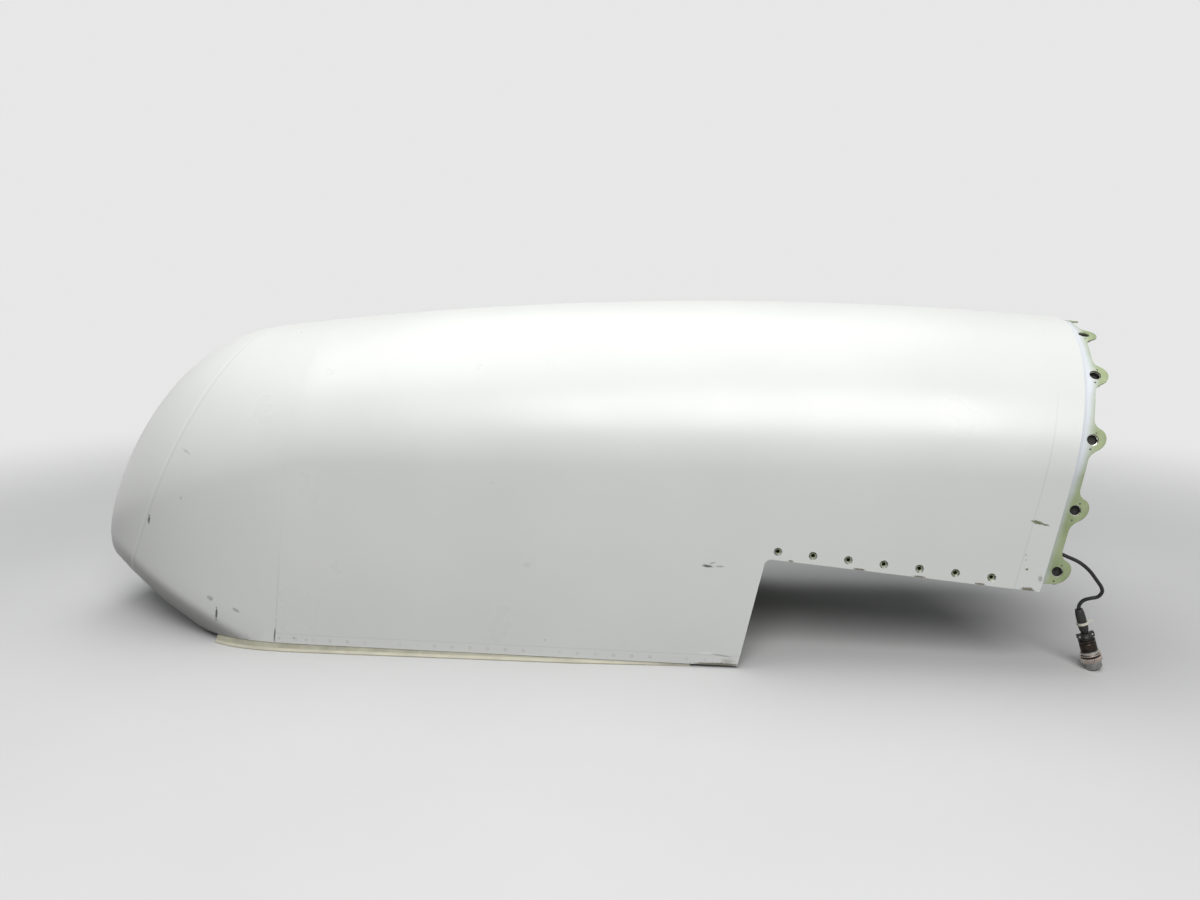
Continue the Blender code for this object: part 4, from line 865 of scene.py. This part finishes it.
def edge_reach(distance):
    """How far the scalloped edge stands out past the skin's edge."""
    both = EAR_RADIUS + EAR_FILLET
    whole = math.sqrt(both ** 2 - (VALLEY_REACH + EAR_FILLET - EAR_REACH) ** 2)
    away = min(abs(distance - place) for place in ear_places)
    if away <= whole * EAR_RADIUS / both or distance > ear_places[-1]:
        return EAR_REACH + math.sqrt(max(EAR_RADIUS ** 2 - away ** 2, 0.0))
    if away < whole:
        return VALLEY_REACH + EAR_FILLET - math.sqrt(EAR_FILLET ** 2 - (whole - away) ** 2)
    return VALLEY_REACH


ROUND_STEPS = 330
LAP_STEPS = 2
JOGGLE_STEPS = 8
LANDING_STEPS = 6
SPRAY_RAGGEDNESS = 0.012
SPRAY_FULL = 0.010
SPRAY_NONE = 0.025
SPRAY_THINS_FROM = 0.29
SPRAY_THIN = 0.19
SPRAY_LOSS = 0.011
flange_end = ear_places[-1] + EAR_RADIUS
seat_depth = SKIN + UNDER_SKIN


def flange_point(column, row):
    """Across the flange from its inner edge to its scalloped one, and round it from the crown."""
    distance = flange_end * row / ROUND_STEPS
    if column <= LAP_STEPS:
        along = -FLANGE_LAP + (FLANGE_LAP - JOGGLE_START) * column / LAP_STEPS
        return end_point(distance, along, seat_depth)
    if column <= LAP_STEPS + JOGGLE_STEPS:
        share = (column - LAP_STEPS) / JOGGLE_STEPS
        eased = share * share * (3 - 2 * share)
        along = -JOGGLE_START + (JOGGLE_START + JOGGLE_END) * share
        return end_point(distance, along, seat_depth + JOGGLE_DEPTH * eased)
    share = (column - LAP_STEPS - JOGGLE_STEPS) / LANDING_STEPS
    along = JOGGLE_END + (edge_reach(distance) - JOGGLE_END) * share
    return end_point(distance, along, seat_depth + JOGGLE_DEPTH)


flange = formed_sheet("attach_flange_sheet", LAP_STEPS + JOGGLE_STEPS + LANDING_STEPS,
                      ROUND_STEPS, flange_point, FLANGE_SHEET)


def ear_frame(place, side, along=0.0, down=0.0):
    """On an ear, z out of its face and x down the girth, moved along the length or the girth."""
    depth = seat_depth + JOGGLE_DEPTH
    middle = end_point(abs(place + down), EAR_REACH + along, depth)
    inside = end_point(abs(place + down), EAR_REACH + along, depth + FLANGE_SHEET)
    below = end_point(place + EAR_RADIUS, EAR_REACH, depth)
    if place + down < 0:
        middle.y, inside.y = -middle.y, -inside.y
    for point in (middle, inside, below):
        point.y *= side
    out = (middle - inside).normalized()
    across = out.cross(below - middle).normalized()
    turn = Matrix((across.cross(out), across, out)).transposed().to_4x4()
    return Matrix.Translation(middle) @ turn


def break_edges(piece, width, angle):
    """Round the edges that turn by more than an angle in degrees."""
    rounding = piece.modifiers.new("broken edges", "BEVEL")
    rounding.width = width
    rounding.segments = 2
    rounding.limit_method = "ANGLE"
    rounding.angle_limit = math.radians(angle)
    apply_modifiers(piece)


def cylinder(radius, depth, middle_z, corners):
    bpy.ops.object.select_all(action="DESELECT")
    bpy.ops.mesh.primitive_cylinder_add(vertices=corners, radius=radius, depth=depth,
                                        location=(0.0, 0.0, middle_z))
    return bpy.context.active_object


ears = [(-1, place) for place in ear_places[:0:-1]] + [(1, place) for place in ear_places]
drill = cylinder(EAR_HOLE_RADIUS, 4 * FLANGE_SHEET, 0.0, corners=40)
cut(flange, repeated(drill, [ear_frame(place, side) for side, place in ears]))
break_edges(flange, width=0.0003, angle=50)

primed, tree, shader = new_material("primed_flange", PRIMER, 0.5)
ragged = times(tree, noise(tree, 22.0), SPRAY_RAGGEDNESS)
thin_spray = ramp(tree, height_of(tree), SPRAY_THIN, SPRAY_THINS_FROM, SPRAY_LOSS, 0.0)
spray_reach = plus(tree, plus(tree, end_reach(tree), ragged), thin_spray)
sprayed = times(tree, ramp(tree, spray_reach, SPRAY_FULL, SPRAY_NONE, 1.0, 0.0),
                facing_out(tree))
green = clouded(tree, (40.0, 5.0, 0.3, 0.7), (0.26, 0.32, 0.16), (0.37, 0.43, 0.25))
tree.links.new(blend_colour(tree, sprayed, green, (0.68, 0.71, 0.76)),
               shader.inputs["Base Color"])
roughen(tree, shader, 60.0, 4.0, 0.42, 0.60)
grain(tree, shader, 500.0, 0.08, 0.0003)
finish_piece(flange, primed, "attach_flange")

# Ear rivets. Two small rivets with low heads hold the receptacle behind each ear, one above
# its hole and one below. They are dull with dirt.
RIVET_RADIUS = 0.0013
RIVET_FLATNESS = 0.35
RIVET_PLACES = ((0.0028, -0.0085), (-0.0010, 0.0114))
rivet_metal = mottled("dirty_rivets", ((0.05, 0.055, 0.04), (0.24, 0.26, 0.18)),
                      cloud=(700.0, 3.0, 0.35, 0.65), sheen=(500.0, 3.0, 0.4, 0.6), metallic=0.4)
bpy.ops.object.select_all(action="DESELECT")
bpy.ops.mesh.primitive_uv_sphere_add(segments=12, ring_count=8, radius=RIVET_RADIUS)
rivet = bpy.context.active_object
rivet.scale.z = RIVET_FLATNESS
bpy.ops.object.transform_apply()
rivets = repeated(rivet, [ear_frame(place, side, along, down)
                          for side, place in ears for along, down in RIVET_PLACES])
rivets.name = "ear_rivets"
dress(rivets, rivet_metal)
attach(rivets, "fairing")

# Receptacles. Quarter-turn fastener receptacles of plated steel behind the ears: a lozenge
# plate riveted to the ear, and a round spring barrel that takes the stud. Inside, the barrels
# are coloured near black as painted shade.
RECEPTACLE_LENGTH = 0.033
RECEPTACLE_WIDTH = 0.017
RECEPTACLE_END_RADIUS = 0.006
RECEPTACLE_END_STEPS = 10
RECEPTACLE_PLATE = 0.0008
BARREL_RADIUS = 0.0076
BARREL_BORE = 0.0058
BARREL_DEPTH = 0.0062
SEAT_GAP = 0.0003
half = RECEPTACLE_LENGTH / 2 - RECEPTACLE_END_RADIUS
end_angles = [SQUARE * (2 * i / RECEPTACLE_END_STEPS - 1) for i in range(RECEPTACLE_END_STEPS + 1)]
right_end = [(half + RECEPTACLE_END_RADIUS * math.cos(angle),
              RECEPTACLE_END_RADIUS * math.sin(angle))
             for angle in end_angles]
left_end = [(-x, -y) for x, y in right_end]
receptacle = filled_block("receptacle", [*right_end, (0.0, RECEPTACLE_WIDTH / 2), *left_end,
                                         (0.0, -RECEPTACLE_WIDTH / 2)], RECEPTACLE_PLATE / 2,
                          Matrix.Translation((0.0, 0.0, -RECEPTACLE_PLATE / 2)))
barrel_top = -RECEPTACLE_PLATE / 2
barrel = cylinder(BARREL_RADIUS, BARREL_DEPTH + barrel_top, (barrel_top - BARREL_DEPTH) / 2,
                  corners=32)
cut(receptacle, barrel, "UNION")
cut(receptacle, cylinder(BARREL_BORE, 2 * BARREL_DEPTH, RECEPTACLE_PLATE, corners=32))
break_edges(receptacle, width=0.0002, angle=50)

steel = mottled("dull_steel", ((0.38, 0.37, 0.34), (0.56, 0.55, 0.52)),
                cloud=(120.0, 5.0, 0.3, 0.7), sheen=(200.0, 4.0, 0.28, 0.48),
                bumps=(900.0, 0.10, 0.0002), metallic=1.0)
bore_painted_shade = mottled("bores_painted_shade", ((0.010, 0.010, 0.009), (0.035, 0.034, 0.030)),
                    cloud=(400.0, 4.0, 0.3, 0.7), sheen=(300.0, 3.0, 0.5, 0.7), metallic=0.3)


def curve_room(place):
    """How far the flange's back curves away from a receptacle's flat plate."""
    plate_end = ear_frame(place + RECEPTACLE_LENGTH / 2, 1).translation
    return max(-(ear_frame(place, 1).inverted() @ plate_end).z, 0.0)


for number, (side, place) in enumerate(ears, start=1):
    fitted = add_object(f"receptacle_{number}_finished", receptacle.data.copy())
    finish_piece(fitted, steel, f"receptacle_{number}")
    fitted.data.materials.append(bore_painted_shade)
    # Faces inside the bore get the near-black painted shade.
    for face in fitted.data.polygons:
        x, y, z = face.center
        if math.hypot(x, y) < BARREL_BORE and z > -BARREL_DEPTH:
            face.material_index = 1
    drop = Matrix.Translation((0, 0, -FLANGE_SHEET - SEAT_GAP - curve_room(place)))
    fitted.data.transform(ear_frame(place, side) @ drop)
bpy.data.objects.remove(receptacle, do_unlink=True)

# Frames. Formers, stringers and angles folded from thinner sheet and primed before riveting.
# Only the inside of the fairing shows them.
FLAT_BELOW = math.radians(0.5)


def smoothed(node, material):
    """A merged copy of a plain node, smooth round its curves, that stands in its place."""
    piece = add_object(f"{node}_finished", cad[node].data.copy())
    with edit_mode(piece):
        bpy.ops.mesh.remove_doubles(threshold=WELD)
        bpy.ops.mesh.dissolve_limited(angle_limit=FLAT_BELOW)
    finish_piece(piece, material, node)


framed = mottled("primed_frames", ((0.33, 0.40, 0.20), (0.44, 0.51, 0.28)),
                 cloud=(18.0, 5.0, 0.3, 0.7), sheen=(35.0, 4.0, 0.45, 0.65),
                 bumps=(400.0, 0.08, 0.0003))
for name in cad:
    if name.endswith("former") or "stringer" in name or "angle" in name:
        smoothed(name, framed)

# Anchor nuts. A sealed steel nut behind each screw hole of the notch, coloured near black as
# painted shade, so that the empty holes look dark.


def turned(name, profile, closed, place, steps=64):
    """A profile of (radius, height) points turned round a place's z axis, edges broken."""
    mesh = bpy.data.meshes.new(name)
    edges = [(i, i + 1) for i in range(len(profile) - 1)]
    if closed:
        edges.append((len(profile) - 1, 0))
    mesh.from_pydata([(radius, 0.0, height) for radius, height in profile], edges, [])
    piece = add_object(name, mesh)
    screw = piece.modifiers.new("turned", "SCREW")
    screw.steps = steps
    screw.render_steps = steps
    screw.use_merge_vertices = True
    screw.merge_threshold = WELD
    apply_modifiers(piece)
    weld(piece)
    break_edges(piece, width=0.00025, angle=40)
    piece.data.transform(place)
    return piece


NUT_RADIUS = 0.0044
NUT_BORE = 0.0024
NUT_TOP = 0.0085
FRAME_SHEET = 0.0014
# Near black: the painted shade that the screw holes show.
nut_painted_shade = mottled("nut_steel_painted_shade", ((0.020, 0.019, 0.016), (0.050, 0.047, 0.040)),
                     cloud=(300.0, 4.0, 0.3, 0.7), sheen=(200.0, 3.0, 0.45, 0.65), metallic=0.5)
nut = turned("nut", [(0.0, 0.0066), (NUT_BORE, 0.0060), (NUT_BORE, 0.0), (NUT_RADIUS, 0.0),
                     (NUT_RADIUS, 0.0055), (0.0034, 0.0075), (0.0018, 0.0083), (0.0, NUT_TOP)],
             False, Matrix.Identity(4), steps=20)
nut_y = HALF_WIDTH - SKIN - SEAT_GAP - FRAME_SHEET - SEAT_GAP / 3
nuts = repeated(nut, hole_places(nut_y, SQUARE))
nuts.name = "anchor_nuts"
bpy.ops.object.shade_smooth_by_angle(angle=SMOOTH_BELOW)
dress(nuts, nut_painted_shade)
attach(nuts, "fairing")

# Seals. Cream extruded rubber, gripped between skin and sill angle. A skirt slopes out from
# under the skin's edge to a thin lip on the floor, and fades out towards the notch.
SEAL_START_X = -0.4469
SEAL_END_X = 0.1737
SEAL_WEB = 0.0022
SEAL_HEIGHT = 0.024
SEAL_LIP_THICK = 0.0014
SEAL_REACH = 0.0042
SEAL_TAPER = 0.150
SEAL_SLANT = 1 / 3
SEAL_SLANTED = 3
SEAL_TURN_SHARE = 0.12
SEAL_TUCK = 0.0006
SKIRT_STEPS = 6
SKIRT_HOLLOW = 0.0006
HOLLOW_ABOVE = 0.003
LIP_ROUND_SHARES = (0.7, 0.35)
LIP_CHAMFER = 0.0002
SEAL_COLUMNS = 90
# Heights between which the seal turns to its painted shade.
SEAL_UNSHADED_BELOW = 0.0034
SEAL_SHADED_ABOVE = 0.0048


def seal_profile(x):
    """Half width and height round the closed section at x."""
    lifted = max(turn_top(x) - lip_z(x), 0.0)
    radius = turn_radius(x)
    edge = half_width(x) - radius + math.sqrt(max(radius ** 2 - lifted ** 2, 0.0))
    outer = edge - SKIN - UNDER_SKIN - SEAL_TURN_SHARE * lifted
    inner = outer - SEAL_WEB
    top = lip_z(x) + SEAL_HEIGHT
    fade = max(0.0, (x - SEAL_END_X + SEAL_TAPER) / SEAL_TAPER)
    foot = edge + SEAL_REACH
    foot += (outer + SEAT_GAP - foot) * fade
    tuck = min(edge - SKIN / 2, foot)
    tuck_z = max(lip_z(x) - SEAL_TUCK, SEAL_LIP_THICK)
    depth = SKIRT_HOLLOW if tuck_z > HOLLOW_ABOVE else 0.0
    skirt = []
    for share in (i / SKIRT_STEPS for i in range(SKIRT_STEPS + 1)):
        skirt_z = tuck_z + (SEAL_LIP_THICK - tuck_z) * share - depth * math.sin(math.pi * share)
        skirt.append((tuck + (foot - tuck) * share, skirt_z))
    lip_round = [(foot, SEAL_LIP_THICK * share) for share in LIP_ROUND_SHARES]
    return [(inner, 0.0), (inner, top / 2), (inner, top), (outer, top),
            (outer, (top + tuck_z) / 2), (outer, tuck_z), *skirt, *lip_round,
            (foot - LIP_CHAMFER, 0.0), (inner, 0.0)]


def formed_seal(name, side):
    """The strip's closed section run along its length, its two ends filled."""
    def point_at(column, row):
        x = SEAL_START_X + (SEAL_END_X - SEAL_START_X) * column / SEAL_COLUMNS
        y, z = seal_profile(x)[row]
        slant = SEAL_SLANT * z * max(1 - column / SEAL_SLANTED, 0.0)
        return x + slant, side * y, z
    strip = formed_grid(name, SEAL_COLUMNS, len(seal_profile(0.0)) - 1, point_at)
    with edit_mode(strip):
        bpy.ops.mesh.remove_doubles(threshold=WELD)
        bpy.ops.mesh.select_all(action="DESELECT")
        bpy.ops.mesh.select_non_manifold(extend=False, use_wire=False, use_multi_face=False,
                                         use_non_contiguous=False, use_verts=False)
        bpy.ops.mesh.fill_holes(sides=0)
        bpy.ops.mesh.select_all(action="SELECT")
        bpy.ops.mesh.normals_make_consistent(inside=False)
    return strip


seal, tree, shader = new_material("cream_rubber", (0.62, 0.59, 0.46), 0.6)
# The seal's upper part, under the skin's edge, is painted darker in noisy patches: painted shade.
seal_shade_mask = ramp(tree, height_of(tree), SEAL_UNSHADED_BELOW, SEAL_SHADED_ABOVE)
patches = ramp(tree, noise(tree, 60.0, 4.0), 0.3, 0.6, 0.7, 1.0)
unshaded_tones = clouded(tree, (25.0, 4.0, 0.3, 0.7), (0.46, 0.44, 0.35), (0.56, 0.54, 0.43))
shade_and_dirt_tones = clouded(tree, (45.0, 5.0, 0.3, 0.7), (0.30, 0.29, 0.22), (0.38, 0.37, 0.28))
tree.links.new(blend_colour(tree, times(tree, seal_shade_mask, patches), unshaded_tones, shade_and_dirt_tones),
               shader.inputs["Base Color"])
roughen(tree, shader, 70.0, 3.0, 0.5, 0.7)
grain(tree, shader, 600.0, 0.12, 0.0003)
for label, side in (("near", -1), ("far", 1)):
    finish_piece(formed_seal(f"seal_strip_{label}_finished", side), seal, f"seal_strip_{label}")

# Fasteners. The lead's clamps and all the screws, in the receptacles' plated steel.
for name in cad:
    if name.startswith(("lead_clamp", "clamp_screw", "saddle_screw")):
        smoothed(name, steel)

# Black trim. Grommet, cushions, cable clamp and connector insert, moulded in black rubber and
# plastic.
moulded = mottled("black_moulding", ((0.006, 0.006, 0.006), (0.022, 0.021, 0.019)),
                  cloud=(130.0, 5.0, 0.4, 0.75), sheen=(150.0, 4.0, 0.40, 0.60),
                  bumps=(800.0, 0.12, 0.0002))
for name in ("grommet", "clamp_cushion_1", "clamp_cushion_2", "cable_clamp", "clamp_saddle",
             "connector_insert"):
    smoothed(name, moulded)

# Pale plastic. The cap on the lead's stowed end and the tie round the boot.
pale = mottled("pale_plastic", ((0.74, 0.72, 0.63), (0.60, 0.57, 0.46)),
               cloud=(80.0, 4.0, 0.35, 0.7), sheen=(120.0, 3.0, 0.38, 0.52),
               bumps=(700.0, 0.08, 0.0002))
for name in ("lead_end_cap", "lead_tie"):
    smoothed(name, pale)

# Connector. A turned aluminium shell, a dark anodised backshell, a steel keeper and a fluted
# plated coupling ring, which turns, stand on one tilted axis with the lead's moulded boot.
CONNECTOR_TILT = math.radians(17.5)
SHELL_RADIUS = 0.0102
connector_place = (Matrix.Translation((0.6639, -0.155, SHELL_RADIUS * math.sin(CONNECTOR_TILT)
                                       + SEAT_GAP))
                   @ Matrix.Rotation(-CONNECTOR_TILT, 4, "Y"))


def turned_metal(name, tones, low, high):
    return mottled(name, tones, cloud=(220.0, 5.0, 0.3, 0.7), sheen=(300.0, 4.0, low, high),
                   bumps=(1200.0, 0.08, 0.0002), metallic=1.0)


grey_anodised = turned_metal("grey_anodised", ((0.22, 0.22, 0.21), (0.34, 0.34, 0.33)),
                             0.30, 0.45)
dark_anodised = turned_metal("dark_anodised", ((0.028, 0.022, 0.018), (0.060, 0.048, 0.040)),
                             0.30, 0.42)
for node, material, closed, profile in (
        ("connector_shell", grey_anodised, False, [
            (0.0, 0.0320), (0.0076, 0.0320), (0.0076, 0.0222), (0.0093, 0.0222),
            (0.0093, 0.0090), (SHELL_RADIUS, 0.0090), (SHELL_RADIUS, 0.0), (0.0086, 0.0),
            (0.0086, 0.0120), (0.0, 0.0120)]),
        ("backshell_barrel", dark_anodised, True, [
            (0.0039, 0.0368), (0.0098, 0.0368), (0.0098, 0.0342), (0.0092, 0.0336),
            (0.0092, 0.0326), (0.0098, 0.0320), (0.0098, 0.0225), (0.0079, 0.0225),
            (0.0079, 0.0323), (0.0039, 0.0323)]),
        ("keeper_ring", steel, True, [
            (0.0096, 0.0219), (0.0108, 0.0219), (0.0108, 0.0186), (0.0096, 0.0186)]),
        ("lead_boot", moulded, False, [
            (0.0, 0.0657), (0.0025, 0.0657), (0.0025, 0.0760), (0.0044, 0.0760),
            (0.0050, 0.0725), (0.0054, 0.0690), (0.0056, 0.0650), (0.0056, 0.0510),
            (0.0052, 0.0490), (0.0042, 0.0462), (0.0036, 0.0448), (0.0036, 0.0326),
            (0.0, 0.0326)])):
    finish_piece(turned(f"{node}_finished", profile, closed, connector_place), material, node)

RING_RADIUS = 0.0125
RING_LOW = 0.0093
RING_LENGTH = 0.0090
RING_BORE = 0.0099
GROOVE_LOW = 0.0148
GROOVE_HIGH = 0.0174
GROOVE_RADIUS = 0.0112
FLUTES = 36
FLUTE_STEPS = 4
FLUTE_DEPTH = 0.0004
ring = turned("coupling_ring_finished", [
    (RING_BORE, RING_LOW), (RING_RADIUS, RING_LOW), (RING_RADIUS, GROOVE_LOW),
    (GROOVE_RADIUS, GROOVE_LOW), (GROOVE_RADIUS, GROOVE_HIGH), (RING_RADIUS, GROOVE_HIGH),
    (RING_RADIUS, RING_LOW + RING_LENGTH), (RING_BORE, RING_LOW + RING_LENGTH)],
    True, Matrix.Identity(4), steps=FLUTE_STEPS * FLUTES)
for vertex in ring.data.vertices:
    outside = math.hypot(vertex.co.x, vertex.co.y) > RING_RADIUS - FLUTE_DEPTH
    angle = math.atan2(vertex.co.y, vertex.co.x)
    if outside and round(angle / (2 * math.pi) * FLUTE_STEPS * FLUTES) % FLUTE_STEPS == 0:
        shrink = 1 - FLUTE_DEPTH / RING_RADIUS
        vertex.co.x *= shrink
        vertex.co.y *= shrink
groove_faces_painted_shade = [face.index for face in ring.data.polygons
                if RING_BORE + FLUTE_DEPTH < math.hypot(face.center.x, face.center.y)
                < GROOVE_RADIUS + FLUTE_DEPTH and GROOVE_LOW <= face.center.z <= GROOVE_HIGH]
ring.data.transform(connector_place)
finish_piece(ring, turned_metal("tan_plating", ((0.42, 0.36, 0.32), (0.62, 0.54, 0.48)),
                                0.22, 0.36), "coupling_ring", "coupling_ring")
# The groove's faces take the dark anodised finish as painted shade inside the groove.
ring.data.materials.append(dark_anodised)
for number in groove_faces_painted_shade:
    ring.data.polygons[number].material_index = 1

# Floor. A pale matt studio floor. It keeps the fairing's shadow, fades into the even pale room
# further off, and throws little light back up at the fairing.
FLOOR_FADE_START = 0.95
FLOOR_FADE_END = 2.2
ROOM_TONE = (0.80, 0.80, 0.80)
FLOOR_TONES = ((0.60, 0.60, 0.595), (0.64, 0.64, 0.635))
BOUNCE_TONE = (0.03, 0.03, 0.03)


def seen_rays(tree):
    """1 for what is seen straight, in a gloss or through glass, 0 for light that spreads."""
    path = tree.nodes.new("ShaderNodeLightPath")
    total = plus(tree, path.outputs["Is Camera Ray"], path.outputs["Is Glossy Ray"])
    total = plus(tree, total, path.outputs["Is Transmission Ray"])
    return maths(tree, "MINIMUM", total, 1.0)


def blend_shaders(tree, factor, first, second):
    mix = tree.nodes.new("ShaderNodeMixShader")
    for value, socket in zip((factor, first, second), mix.inputs):
        tree.links.new(value, socket)
    return mix.outputs["Shader"]


bpy.ops.mesh.primitive_plane_add(size=60.0, location=(0.0, 0.0, 0.0))
floor = bpy.context.active_object
floor.name = "floor"
paper, tree, shader = new_material("pale_floor", (0.62, 0.62, 0.61), 0.95)
pale_paper = blend_colour(tree, noise(tree, 3.0), *FLOOR_TONES)
tree.links.new(blend_colour(tree, seen_rays(tree), BOUNCE_TONE, pale_paper),
               shader.inputs["Base Color"])
shader.inputs["Specular IOR Level"].default_value = 0.0
room_paper = tree.nodes.new("ShaderNodeEmission")
room_paper.inputs["Color"].default_value = (*ROOM_TONE, 1.0)
tree.links.new(seen_rays(tree), room_paper.inputs["Strength"])
away = vector_maths(tree, "LENGTH", place_of(tree))
far_off = ramp(tree, away, FLOOR_FADE_START, FLOOR_FADE_END)
tree.links.new(blend_shaders(tree, far_off, shader.outputs["BSDF"],
                             room_paper.outputs["Emission"]),
               tree.nodes["Material Output"].inputs["Surface"])
dress(floor, paper)

# Light. A wide soft lamp overhead, a smaller one in front and above, and an even pale room.
# Seen straight, the room has its own tone. The light that it throws is weaker and cooler.
SPREAD_TONE = (0.80, 0.82, 0.85)
SPREAD_STRENGTH = 0.26


def soft_lamp(name, place, target, size, watts):
    lamp = bpy.data.lights.new(name, "AREA")
    lamp.shape = "RECTANGLE"
    lamp.size, lamp.size_y = size
    lamp.energy = watts
    holder = add_object(name, lamp)
    holder.location = place
    aim = Vector(target) - Vector(place)
    holder.rotation_euler = aim.to_track_quat("-Z", "Y").to_euler()


soft_lamp("overhead", place=(-0.3, 0.1, 2.7), target=(0.0, 0.0, 0.2), size=(3.4, 2.2), watts=43.0)
soft_lamp("front", place=(0.45, -2.6, 2.2), target=(0.0, 0.0, 0.25), size=(2.2, 1.6), watts=85.0)
world = bpy.data.worlds.new("room")
bpy.context.scene.world = world
world.use_nodes = True
tree = world.node_tree
seen_room = tree.nodes["Background"]
seen_room.inputs["Color"].default_value = (*ROOM_TONE, 1.0)
spread = tree.nodes.new("ShaderNodeBackground")
spread.inputs["Color"].default_value = (*SPREAD_TONE, 1.0)
spread.inputs["Strength"].default_value = SPREAD_STRENGTH
tree.links.new(blend_shaders(tree, seen_rays(tree), spread.outputs["Background"],
                             seen_room.outputs["Background"]),
               tree.nodes["World Output"].inputs["Surface"])
